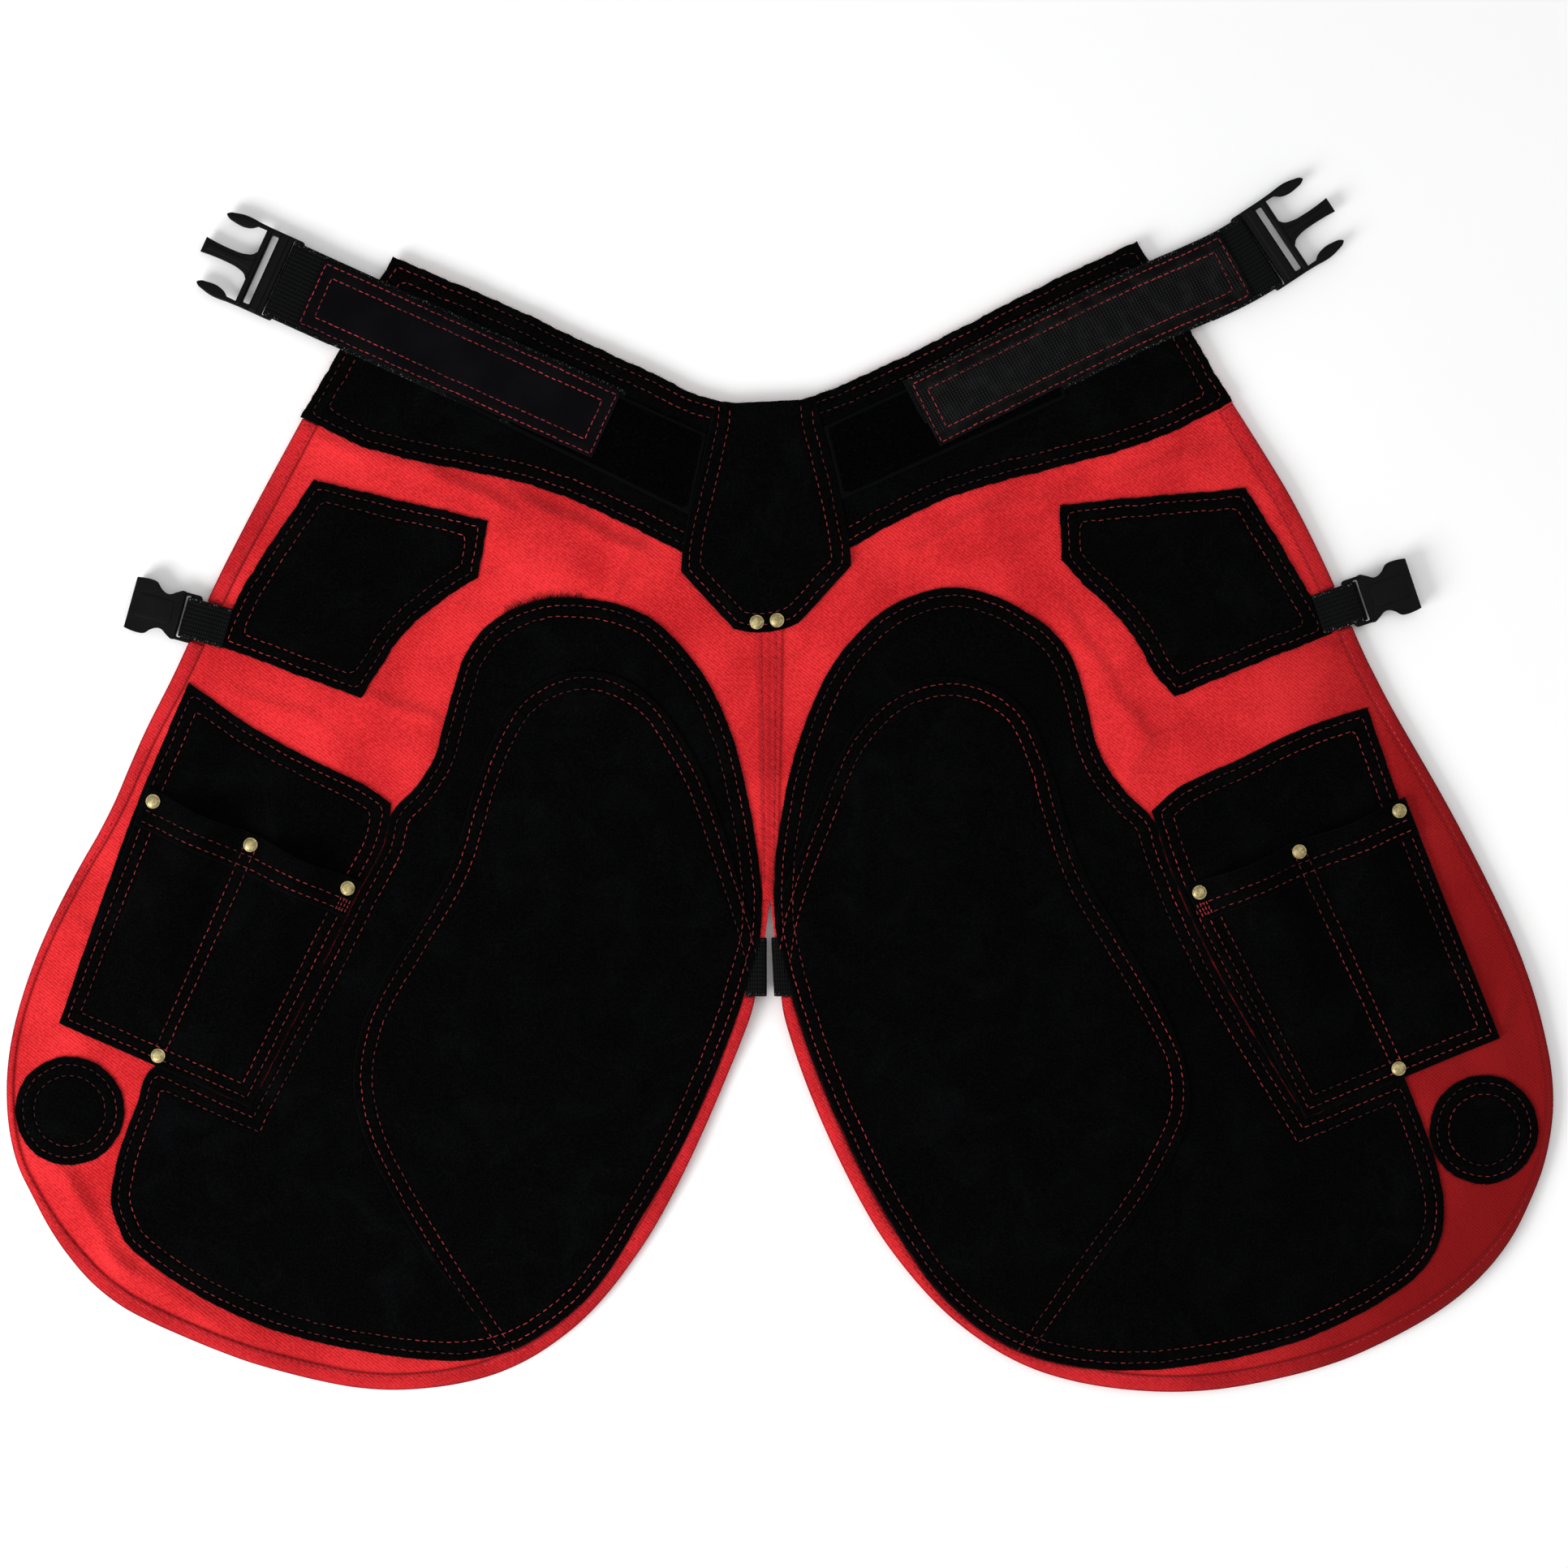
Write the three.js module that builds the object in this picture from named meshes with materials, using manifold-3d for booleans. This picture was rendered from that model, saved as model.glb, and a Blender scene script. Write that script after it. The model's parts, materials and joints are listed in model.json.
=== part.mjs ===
// A farrier's apron laid out flat, face up. Two canvas legs meet at the centre seam. A suede yoke,
// leg pads, knee patches, hip patches, tool pockets and nail patches are sewn on. A belt strap
// lies on each half of the yoke and a short leg strap is sewn to each thigh.
// Millimetres. X runs to the right and Y up towards the waist, both as seen from the front, and
// Z points up from the floor. The origin is beside the centre seam on the underside of the canvas.

import * as THREE from "three";
import { mergeVertices } from "three/addons/utils/BufferGeometryUtils.js";
import Module from "manifold-3d";

const wasm = await Module();
wasm.setup();

// Overall sizes
const HALF_WIDTH = 476;
const LEG_LENGTH = 607;
const WAIST_HEIGHT = 225;

// Thickness of each kind of sheet, and the clearance kept between pieces
const CANVAS_THICK = 1.6;
const HEM_THICK = 1.2;
const SUEDE_THICK = 1.4;
const TAPE_THICK = 1.4;
const WEBBING_THICK = 1.5;
const GAP = 0.3;

// Underside of the first, second and third layer above the underside of the canvas
const FIRST = CANVAS_THICK + GAP;
const SECOND = FIRST + SUEDE_THICK + GAP;
const THIRD = SECOND + Math.max(TAPE_THICK, SUEDE_THICK) + GAP;

// Hem, seam and tabs
const HEM_WIDTH = 11;
const SEAM_WIDTH = 16;
const SEAM_FOOT_WIDTH = 9;
const SEAM_SHORT = 2;
const HEM_SCRAP = 120;
const TAB_HEIGHT = 36;
const TAB_REACH = 16;

// Round patches and rivets
const NAIL_PATCH_RADIUS = 33.5;
const NAIL_PATCH_SIDES = 28;
const RIVET_CAP_RADIUS = 4.5;
const RIVET_CAP_THICK = 1.6;
const RIVET_SHANK_RADIUS = 1.6;
const RIVET_SIDES = 8;

// Tool pockets: how far the mouth stands open, and the flat margins under the stitching
const POCKET_OPEN = 15;
const POCKET_MARGIN = 12;
const POCKET_DIVIDER = 14;
const POCKET_BAND = 24;
const RIVET_INSET = 6.5;
const MOUTH_RIVETS = 3;
const CELL_STEPS = 6;

// Belt: 50 mm webbing and the plug half of a side release buckle
const BELT_LENGTH = 240;
const BELT_WIDTH = 49;
const BELT_TUCK = 45;
const BELT_BAR_THICK = 4;
const BELT_BAR_WIDTH = 4.5;
const BELT_SLOT = 4.5;
const WEBBING_SLOT = 2.4;
const BELT_MIDDLE_BAR = 9.1;
const BELT_CROSS_BAR = 4;
const OPEN_SLOT_INSET = 2;
const BUCKLE_THICK = 6;
const BUCKLE_RIM = 1.4;
const PLUG_REACH = 38.5;
const PLUG_THICK = 4;
const PRONG_REACH = 33;
const PRONG_THICK = 5;
const PATCH_THICK = 1.2;
const PATCH_WIDTH = 44;
const PATCH_INSET = 2.5;
const BELT_SWAY = 3.3;

// Leg strap: 25 mm webbing and the socket half of a side release buckle
const STRAP_WIDTH = 25;
const STRAP_REACH = 31;
const STRAP_SLOPE = 14;
const SOCKET_LENGTH = 41;
const SOCKET_HALF_WIDTH = 16;
const SOCKET_THICK = 9.4;
const SOCKET_WALL = 1.9;
const SOCKET_CHEEK = 4;
const SOCKET_BACK = 3;
const SOCKET_BAR_THICK = 3;
const SOCKET_BAR_WIDTH = 7;
const SOCKET_ARM_EXTRA = 0.2;
const SOCKET_SLOT = 4.5;

// How far the webbing runs on before it turns, in both kinds of strap
const BEND = 1;

// Height field of the cloth, and how much larger than the apron it is
const CELL = 38;
const SPARE = 1.05;
const WAIST_SPARE = 0.2;
const FOLD_RISE = 6;
const CURVE_STEP = 22;
const DEEP = 40;

const JOINT_X = 0.003 * HALF_WIDTH;

const COLOURS = {
  canvas: { color: 0xc8141c, roughness: 0.9, metalness: 0 },
  hem: { color: 0xa50f18, roughness: 0.9, metalness: 0 },
  suede: { color: 0x101012, roughness: 0.95, metalness: 0 },
  tape: { color: 0x0a0a0b, roughness: 1, metalness: 0 },
  webbing: { color: 0x17181a, roughness: 0.8, metalness: 0 },
  leather: { color: 0x121214, roughness: 0.6, metalness: 0 },
  plastic: { color: 0x141517, roughness: 0.4, metalness: 0 },
  brass: { color: 0xb08d3e, roughness: 0.35, metalness: 1 },
};

// The two sides as seen from the front, with what differs between them: the direction in degrees
// in which the belt and the leg strap run out, and the lengths of the belt to its buckle and of
// its patch as shares of BELT_LENGTH.
const SIDES = [
  { name: "left", sign: -1, beltTurn: 155.7, belt: 0.9833, patch: 0.8333, strapTurn: 164.5 },
  { name: "right", sign: 1, beltTurn: 26.4, belt: 1.0242, patch: 0.8875, strapTurn: 18.5 },
];

// Outlines. Each row is one point on the left and on the right half: how far out from the centre
// line as a share of HALF_WIDTH, and how far down from the waist as a share of LEG_LENGTH.
// hem is the width of the hem there as a share of HEM_WIDTH.
const CANVAS = [
  { left: [-0.003, 0.002], right: [0.003, 0.002], corner: true },
  { left: [0.072, -0.003], right: [0.052, -0.003], corner: true },
  { left: [0.168, -0.036], right: [0.168, -0.042] },
  { left: [0.340, -0.098], right: [0.340, -0.111] },
  { left: [0.481, -0.146], right: [0.474, -0.162], corner: true },
  { left: [0.601, 0.013], right: [0.601, -0.002], corner: true, hem: 0.95 },
  { left: [0.654, 0.091], right: [0.674, 0.091], hem: 0.95 },
  { left: [0.704, 0.165], right: [0.722, 0.165], hem: 0.9 },
  { left: [0.762, 0.264], right: [0.778, 0.264], hem: 0.85 },
  { left: [0.809, 0.338], right: [0.830, 0.338], hem: 0.75 },
  { left: [0.850, 0.412], right: [0.883, 0.412], hem: 0.65 },
  { left: [0.902, 0.486], right: [0.932, 0.486], hem: 0.55 },
  { left: [0.946, 0.560], right: [0.974, 0.560], hem: 0.45 },
  { left: [0.975, 0.634], right: [1.003, 0.634], hem: 0.4 },
  { left: [0.984, 0.696], right: [1.015, 0.696], hem: 0.4 },
  { left: [0.974, 0.758], right: [1.007, 0.758], hem: 0.4 },
  { left: [0.946, 0.807], right: [0.985, 0.807], hem: 0.5 },
  { left: [0.908, 0.857], right: [0.949, 0.857], hem: 0.75 },
  { left: [0.848, 0.906], right: [0.887, 0.906], hem: 0.85 },
  { left: [0.716, 0.956], right: [0.778, 0.956], hem: 0.85 },
  { left: [0.624, 0.980], right: [0.693, 0.980], hem: 0.9 },
  { left: [0.489, 0.998], right: [0.529, 1.000], hem: 0.9 },
  { left: [0.346, 0.980], right: [0.355, 0.980], hem: 0.9 },
  { left: [0.245, 0.931], right: [0.247, 0.931], hem: 0.85 },
  { left: [0.166, 0.857], right: [0.160, 0.857], hem: 0.8 },
  { left: [0.112, 0.783], right: [0.104, 0.783], hem: 0.8 },
  { left: [0.055, 0.684], right: [0.048, 0.684], hem: 0.8 },
  { left: [0.019, 0.610], right: [0.019, 0.610], hem: 0.8 },
  { left: [0.007, 0.564], right: [0.012, 0.564], hem: 0.8 },
  { left: [-0.003, 0.505], right: [0.003, 0.505], corner: true, hem: 0.8 },
];

// The row of the table above at which the hem begins
const HEM_FROM = 5;

const YOKE = [
  { left: [-0.003, -0.001], right: [0.003, -0.001], corner: true },
  { left: [0.072, -0.006], right: [0.050, -0.007], corner: true },
  { left: [0.168, -0.039], right: [0.168, -0.046] },
  { left: [0.340, -0.102], right: [0.340, -0.115] },
  { left: [0.484, -0.150], right: [0.477, -0.166], corner: true },
  { left: [0.603, 0.012], right: [0.600, -0.004], corner: true },
  { left: [0.584, 0.019], right: [0.582, 0.004] },
  { left: [0.528, 0.041], right: [0.529, 0.025] },
  { left: [0.461, 0.055], right: [0.476, 0.041] },
  { left: [0.394, 0.066], right: [0.372, 0.064] },
  { left: [0.321, 0.078], right: [0.304, 0.077] },
  { left: [0.267, 0.091], right: [0.243, 0.091] },
  { left: [0.199, 0.115], right: [0.176, 0.115] },
  { left: [0.111, 0.148], right: [0.105, 0.145], corner: true },
  { left: [-0.003, 0.183], right: [0.003, 0.183], corner: true },
];

const TONGUE = [
  { left: [0.068, -0.001], right: [0.060, -0.006], corner: true },
  { left: [0.083, 0.049], right: [0.080, 0.049] },
  { left: [0.097, 0.099], right: [0.095, 0.099] },
  { left: [0.110, 0.148], right: [0.106, 0.145], corner: true },
  { left: [0.112, 0.169], right: [0.108, 0.163], corner: true },
  { left: [0.044, 0.227], right: [0.040, 0.221], corner: true },
  { left: [0.024, 0.230], right: [0.020, 0.227], corner: true },
];

const TONGUE_RIVET = { left: [0.014, 0.220], right: [0.012, 0.218] };

const LOOP_TAPE = [
  { left: [0.069, 0.033], right: [0.067, 0.024], corner: true },
  { left: [0.371, -0.073], right: [0.345, -0.077], corner: true },
  { left: [0.416, -0.009], right: [0.387, -0.008], corner: true },
  { left: [0.098, 0.113], right: [0.091, 0.098], corner: true },
];

const LEG_PAD = [
  { left: [0.483, 0.413], right: [0.492, 0.415], corner: true },
  { left: [0.658, 0.577], right: [0.666, 0.577], corner: true },
  { left: [0.798, 0.674], right: [0.820, 0.677], corner: true },
  { left: [0.838, 0.758], right: [0.861, 0.762] },
  { left: [0.848, 0.807], right: [0.873, 0.807] },
  { left: [0.836, 0.839], right: [0.869, 0.844] },
  { left: [0.778, 0.881], right: [0.839, 0.881] },
  { left: [0.659, 0.931], right: [0.739, 0.931] },
  { left: [0.540, 0.956], right: [0.653, 0.956] },
  { left: [0.405, 0.968], right: [0.477, 0.978] },
  { left: [0.326, 0.956], right: [0.330, 0.960] },
  { left: [0.235, 0.906], right: [0.230, 0.906] },
  { left: [0.151, 0.807], right: [0.143, 0.807] },
  { left: [0.100, 0.733], right: [0.095, 0.733] },
  { left: [0.059, 0.659], right: [0.056, 0.659] },
  { left: [0.023, 0.577], right: [0.023, 0.577] },
  { left: [0.008, 0.527], right: [0.010, 0.527] },
  { left: [0.012, 0.461], right: [0.010, 0.461] },
  { left: [0.036, 0.362], right: [0.032, 0.362] },
  { left: [0.057, 0.313], right: [0.053, 0.313] },
  { left: [0.091, 0.264], right: [0.083, 0.264] },
  { left: [0.155, 0.214], right: [0.140, 0.214] },
  { left: [0.211, 0.199], right: [0.191, 0.192] },
  { left: [0.269, 0.195], right: [0.246, 0.185] },
  { left: [0.321, 0.204], right: [0.309, 0.199] },
  { left: [0.381, 0.239], right: [0.382, 0.241] },
  { left: [0.415, 0.313], right: [0.416, 0.313] },
  { left: [0.433, 0.362], right: [0.434, 0.361] },
  { left: [0.455, 0.387], right: [0.457, 0.387] },
];

const KNEE_PATCH = [
  { left: [0.330, 0.965], right: [0.328, 0.964], corner: true },
  { left: [0.153, 0.972], right: [0.151, 0.972], corner: true },
  { left: [-0.015, 0.560], right: [-0.006, 0.560], corner: true },
  { left: [0.028, 0.509], right: [0.019, 0.502] },
  { left: [0.050, 0.449], right: [0.041, 0.453] },
  { left: [0.091, 0.363], right: [0.088, 0.362] },
  { left: [0.142, 0.304], right: [0.141, 0.303] },
  { left: [0.185, 0.279], right: [0.188, 0.282] },
  { left: [0.241, 0.269], right: [0.243, 0.275] },
  { left: [0.319, 0.295], right: [0.324, 0.302] },
  { left: [0.355, 0.339], right: [0.359, 0.354] },
  { left: [0.379, 0.389], right: [0.380, 0.409] },
  { left: [0.410, 0.467], right: [0.409, 0.474] },
  { left: [0.462, 0.539], right: [0.462, 0.545] },
  { left: [0.519, 0.618], right: [0.513, 0.614] },
  { left: [0.535, 0.684], right: [0.545, 0.696] },
  { left: [0.522, 0.738], right: [0.535, 0.741] },
  { left: [0.487, 0.796], right: [0.498, 0.793] },
  { left: [0.442, 0.856], right: [0.419, 0.881] },
];

const HIP_PATCH = [
  { left: [0.586, 0.076], right: [0.617, 0.084], corner: true },
  { left: [0.361, 0.118], right: [0.377, 0.101], corner: true },
  { left: [0.374, 0.175], right: [0.380, 0.157], corner: true },
  { left: [0.410, 0.192], right: [0.418, 0.189] },
  { left: [0.447, 0.214], right: [0.451, 0.214] },
  { left: [0.479, 0.239], right: [0.476, 0.239] },
  { left: [0.498, 0.264], right: [0.493, 0.264] },
  { left: [0.524, 0.297], right: [0.526, 0.295], corner: true },
  { left: [0.712, 0.243], right: [0.729, 0.231], corner: true },
  { left: [0.672, 0.177], right: [0.676, 0.159] },
];

const TOOL_POCKET = [
  { left: [0.748, 0.281], right: [0.775, 0.306], corner: true },
  { left: [0.660, 0.329], right: [0.687, 0.329] },
  { left: [0.574, 0.365], right: [0.603, 0.361] },
  { left: [0.516, 0.387], right: [0.524, 0.391] },
  { left: [0.483, 0.409], right: [0.493, 0.418] },
  { left: [0.504, 0.453], right: [0.513, 0.449] },
  { left: [0.586, 0.582], right: [0.603, 0.585] },
  { left: [0.669, 0.711], right: [0.695, 0.722], corner: true },
  { left: [0.915, 0.626], right: [0.945, 0.641], corner: true },
  { left: [0.820, 0.415], right: [0.829, 0.428] },
];

// Corners of the pocket's front: outer and inner end of the mouth, inner and outer end of the foot
const POCKET_FRONT = [
  { left: [0.800, 0.387], right: [0.822, 0.397] },
  { left: [0.523, 0.484], right: [0.538, 0.488] },
  { left: [0.669, 0.711], right: [0.695, 0.722] },
  { left: [0.915, 0.626], right: [0.945, 0.641] },
];

const NAIL_PATCH = { left: [0.902, 0.715], right: [0.925, 0.734] };
const BELT_END = { left: [0.203, 0.023], right: [0.197, 0.012] };
const SOCKET_MOUTH = { left: [0.820, 0.200], right: [0.831, 0.181] };
const THIGH_TAB_DOWN = 0.569;

// Folds of the cloth: centre as in the outlines, with across negative on the left half, turn of
// the crest in degrees from X, length and width as shares of LEG_LENGTH, rise of FOLD_RISE.
const FOLDS = [
  { across: -0.330, down: 0.125, turn: -21, length: 0.350, width: 0.100, rise: 1.0 },
  { across: -0.500, down: 0.310, turn: -20, length: 0.180, width: 0.100, rise: 0.7 },
  { across: -0.260, down: 0.620, turn: 75, length: 0.560, width: 0.330, rise: 0.7 },
  { across: -0.850, down: 0.850, turn: -45, length: 0.230, width: 0.110, rise: 0.6 },
  { across: 0.300, down: 0.120, turn: 30, length: 0.220, width: 0.120, rise: 0.9 },
  { across: 0.470, down: 0.325, turn: 25, length: 0.160, width: 0.100, rise: 0.7 },
  { across: 0.260, down: 0.620, turn: -75, length: 0.560, width: 0.330, rise: 0.7 },
  { across: 0.900, down: 0.870, turn: 50, length: 0.230, width: 0.110, rise: 0.6 },
  { across: 0.000, down: 0.569, turn: 0, length: 0.290, width: 0.290, rise: 0.7 },
];

// Outline of the plug's centre guide and of one prong, as shares of PLUG_REACH and PRONG_REACH
// along and of half the belt's width across.
const GUIDE = [
  [0.13, 0.38],
  [0.24, 0.21],
  [0.55, 0.16],
  [0.90, 0.18],
  [1.00, 0.19],
];
const PRONG = [
  [0.12, 1.07],
  [0.36, 1.08],
  [0.48, 1.10],
  [0.66, 1.10],
  [0.84, 1.05],
  [0.96, 0.99],
  [1.00, 0.93],
  [0.95, 0.87],
  [0.80, 0.82],
  [0.62, 0.81],
  [0.48, 0.86],
  [0.38, 0.96],
  [0.12, 0.97],
];

// Half outline of the socket, from the mouth to the bar, as shares of SOCKET_LENGTH along and of
// SOCKET_HALF_WIDTH across. Its last rows are the two arms that hold the bar.
const SOCKET = [
  [0.00, 0.97],
  [-0.09, 1.00],
  [-0.27, 0.97],
  [-0.37, 0.69],
  [-0.53, 0.65],
  [-0.63, 0.82],
  [-0.74, 0.94],
];
const SOCKET_ARMS = [
  [-0.70, 0.94],
  [-0.86, 0.94],
  [-1.00, 0.88],
];

// The belt's line, as shares of its length along and of BELT_SWAY to its left
const SWAY = {
  left: [
    [0, 0],
    [1, 0],
  ],
  right: [
    [0, 0],
    [0.45, 0],
    [0.60, -0.15],
    [0.70, -0.48],
    [0.78, -0.81],
    [0.86, -0.93],
    [1, 0],
  ],
};

function point(place, side) {
  const [across, down] = place[side.name];
  return new THREE.Vector2(side.sign * across * HALF_WIDTH, WAIST_HEIGHT - down * LEG_LENGTH);
}

// Points along the rows, straight between corners and curved through the rest
function chain(rows, side) {
  const knots = rows.map((row) => {
    const { x, y } = point(row, side);
    return new THREE.Vector3(x, y, (row.hem ?? 0) * HEM_WIDTH);
  });
  const points = [knots[0]];
  let start = 0;
  for (let end = 1; end < rows.length; end++) {
    if (!rows[end].corner && end < rows.length - 1) continue;
    const run = new THREE.CatmullRomCurve3(knots.slice(start, end + 1));
    const steps = end === start + 1 ? 1 : Math.ceil(run.getLength() / CURVE_STEP);
    points.push(...run.getSpacedPoints(steps).slice(1));
    start = end;
  }
  return points;
}

function outline(rows, side) {
  return chain([...rows, rows[0]], side).slice(0, -1);
}

// The same outline moved outwards by a distance, or inwards by a negative one
function grow(points, distance) {
  const area = THREE.ShapeUtils.area(points);
  return points.map((here, index) => {
    const before = points[(index + points.length - 1) % points.length];
    const after = points[(index + 1) % points.length];
    return pushed(before, here, after, distance * Math.sign(area));
  });
}

// A point moved to the right of the path that runs before, here, after
function pushed(before, here, after, distance) {
  const first = new THREE.Vector2(here.y - before.y, before.x - here.x).normalize();
  const second = new THREE.Vector2(after.y - here.y, here.x - after.x).normalize();
  if (first.lengthSq() === 0) first.copy(second);
  if (second.lengthSq() === 0) second.copy(first);
  const reach = distance / (1 + first.dot(second));
  return first.add(second).multiplyScalar(reach).add(here);
}

function solid(geometry) {
  geometry.deleteAttribute("normal");
  geometry.deleteAttribute("uv");
  const merged = mergeVertices(geometry);
  const vertProperties = new Float32Array(merged.attributes.position.array);
  const triVerts = new Uint32Array(merged.index.array);
  return new wasm.Manifold(new wasm.Mesh({ numProp: 3, vertProperties, triVerts }));
}

function mesh(name, shape, look) {
  let geometry = shape;
  if (shape instanceof wasm.Manifold) {
    const data = shape.getMesh();
    geometry = new THREE.BufferGeometry();
    geometry.setAttribute("position", new THREE.BufferAttribute(data.vertProperties, 3));
    geometry.setIndex(new THREE.BufferAttribute(data.triVerts, 1));
    geometry.computeVertexNormals();
  }
  const piece = new THREE.Mesh(geometry, new THREE.MeshStandardMaterial(look));
  piece.name = name;
  return piece;
}

function prism(points, low = -DEEP, high = 2 * DEEP) {
  const shape = new THREE.Shape(points.map(({ x, y }) => new THREE.Vector2(x, y)));
  const block = new THREE.ExtrudeGeometry(shape, { depth: high - low, bevelEnabled: false });
  block.translate(0, 0, low);
  return solid(block);
}

function box(low, high) {
  const size = new THREE.Vector3().subVectors(high, low);
  const block = new THREE.BoxGeometry(size.x, size.y, size.z);
  block.translate((low.x + high.x) / 2, (low.y + high.y) / 2, (low.z + high.z) / 2);
  return solid(block);
}

function peg(place, radius) {
  const rod = new THREE.CylinderGeometry(radius, radius, 3 * DEEP, RIVET_SIDES);
  rod.rotateX(Math.PI / 2);
  rod.translate(place.x, place.y, 0);
  return solid(rod);
}

// How far the cloth stands above the floor
function rise(x, y) {
  let height = 0;
  for (const fold of FOLDS) {
    const turn = THREE.MathUtils.degToRad(fold.turn);
    const dx = x - fold.across * HALF_WIDTH;
    const dy = y - WAIST_HEIGHT + fold.down * LEG_LENGTH;
    const along = (2 * (dx * Math.cos(turn) + dy * Math.sin(turn))) / (fold.length * LEG_LENGTH);
    const across = (2 * (dy * Math.cos(turn) - dx * Math.sin(turn))) / (fold.width * LEG_LENGTH);
    if (Math.abs(along) >= 1 || Math.abs(across) >= 1) continue;
    const crest = Math.cos((Math.PI / 2) * along) * Math.cos((Math.PI / 2) * across);
    height += FOLD_RISE * fold.rise * crest * crest;
  }
  return height;
}

// A block as large as the apron whose top follows the folds, a level above the canvas's underside
function blank(level, foot) {
  const columns = 2 * Math.ceil((SPARE * HALF_WIDTH) / CELL);
  const above = Math.ceil((WAIST_HEIGHT + WAIST_SPARE * LEG_LENGTH) / CELL);
  const below = Math.ceil((SPARE * LEG_LENGTH - WAIST_HEIGHT) / CELL);
  const rows = above + below;
  const block = new THREE.BoxGeometry(columns * CELL, rows * CELL, 1, columns, rows, 1);
  block.translate(0, ((above - below) * CELL) / 2, 0);
  const place = block.attributes.position;
  for (let index = 0; index < place.count; index++) {
    const top = rise(place.getX(index), place.getY(index)) + level;
    place.setZ(index, place.getZ(index) > 0 ? top : foot);
  }
  return solid(block);
}

// The layer of cloth between two levels, cut along an outline
const layers = new Map();
function sheet(points, low, high) {
  const key = `${low} ${high}`;
  if (!layers.has(key)) layers.set(key, blank(high, -DEEP).subtract(blank(low, -2 * DEEP)));
  return layers.get(key).intersect(prism(points));
}

// Everything on one side of the line where the left and right halves meet
function half(side) {
  const inner = side.sign * (GAP / 2);
  const outer = side.sign * 2 * HALF_WIDTH;
  const low = new THREE.Vector3(JOINT_X + Math.min(inner, outer), -2 * LEG_LENGTH, -DEEP);
  const high = new THREE.Vector3(JOINT_X + Math.max(inner, outer), 2 * LEG_LENGTH, DEEP);
  return box(low, high);
}

function tongueRivetPlaces() {
  return SIDES.map((side) => point(TONGUE_RIVET, side));
}

// A place on the pocket's front: a runs from its outer to its inner side, b from mouth to foot
function onPocket(side, a, b) {
  const [outerMouth, innerMouth, innerFoot, outerFoot] = POCKET_FRONT.map((row) => point(row, side));
  const mouth = outerMouth.lerp(innerMouth, a);
  const foot = outerFoot.lerp(innerFoot, a);
  return mouth.lerp(foot, b);
}

function pocketSize(side) {
  const width = onPocket(side, 0, 0).distanceTo(onPocket(side, 1, 0));
  const length = onPocket(side, 0.5, 0).distanceTo(onPocket(side, 0.5, 1));
  return { width, length };
}

function pocketRivetPlaces(side) {
  const { width, length } = pocketSize(side);
  const a = RIVET_INSET / width;
  const b = RIVET_INSET / length;
  return [
    [a, b],
    [0.5, b],
    [1 - a, b],
    [0.5, 1 - b],
  ].map(([across, along]) => onPocket(side, across, along));
}

// Shares of the pocket's width at which its front is shaped: its sides and the two cells' arches
function pocketColumns(margin, cell) {
  const columns = [0];
  for (const start of [margin, 1 - margin - cell]) {
    for (let step = 0; step <= CELL_STEPS; step++) columns.push(start + (cell * step) / CELL_STEPS);
  }
  return [...columns, 1];
}

// The pocket's front between two levels, from the mouth to a share of its length. Each of its two
// cells stands open at the mouth and lies flat at the foot and at its sides.
function pocketWall(side, low, high, reach) {
  const { width, length } = pocketSize(side);
  const margin = POCKET_MARGIN / width;
  const cell = (1 - 2 * margin - POCKET_DIVIDER / width) / 2;
  const columns = pocketColumns(margin, cell);
  const rows = Math.ceil(CELL_STEPS * reach);
  const flatFrom = 1 - POCKET_MARGIN / length;
  const shaped = (level, foot) => {
    const block = new THREE.BoxGeometry(columns.length - 1, 1, 1, columns.length - 1, rows, 1);
    block.translate((columns.length - 1) / 2, -0.5, 0);
    const corner = block.attributes.position;
    for (let index = 0; index < corner.count; index++) {
      const a = columns[Math.round(corner.getX(index))];
      const b = -corner.getY(index) * reach;
      const inCell = (Math.min(a, 1 - a) - margin) / cell;
      const arch = inCell > 0 && inCell < 1 ? Math.sin(Math.PI * inCell) : 0;
      const taper = b < flatFrom ? Math.cos((Math.PI / 2) * (b / flatFrom)) : 0;
      const { x, y } = onPocket(side, side.sign < 0 ? a : 1 - a, b);
      const top = level + POCKET_OPEN * arch * taper;
      corner.setXYZ(index, x, y, corner.getZ(index) > 0 ? top : foot);
    }
    return solid(block);
  };
  return shaped(high, -DEEP).subtract(shaped(low, -2 * DEEP));
}

// A rivet with a low domed cap seated at a height, its shank down to the underside of the canvas
function rivet(seat) {
  const crown = seat + RIVET_CAP_THICK;
  const profile = [
    new THREE.Vector2(0, 0),
    new THREE.Vector2(RIVET_SHANK_RADIUS, 0),
    new THREE.Vector2(RIVET_SHANK_RADIUS, seat),
    new THREE.Vector2(RIVET_CAP_RADIUS, seat),
    new THREE.Vector2(RIVET_CAP_RADIUS, seat + RIVET_CAP_THICK / 3),
    new THREE.Vector2(RIVET_CAP_RADIUS * 0.7, crown - RIVET_CAP_THICK * 0.15),
    new THREE.Vector2(0, crown),
  ];
  const turned = new THREE.LatheGeometry(profile, RIVET_SIDES);
  turned.rotateX(Math.PI / 2);
  return turned;
}

function drilled(piece, places) {
  let result = piece;
  for (const place of places) result = result.subtract(peg(place, RIVET_SHANK_RADIUS + GAP));
  return result;
}

// A band of webbing: its side view, as points along and up, drawn out to a width
function band(sideView, width) {
  const shape = new THREE.Shape(sideView.map(([along, up]) => new THREE.Vector2(along, up)));
  const strip = new THREE.ExtrudeGeometry(shape, { depth: width, bevelEnabled: false });
  strip.translate(0, 0, -width / 2);
  strip.rotateX(Math.PI / 2);
  return strip;
}

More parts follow.
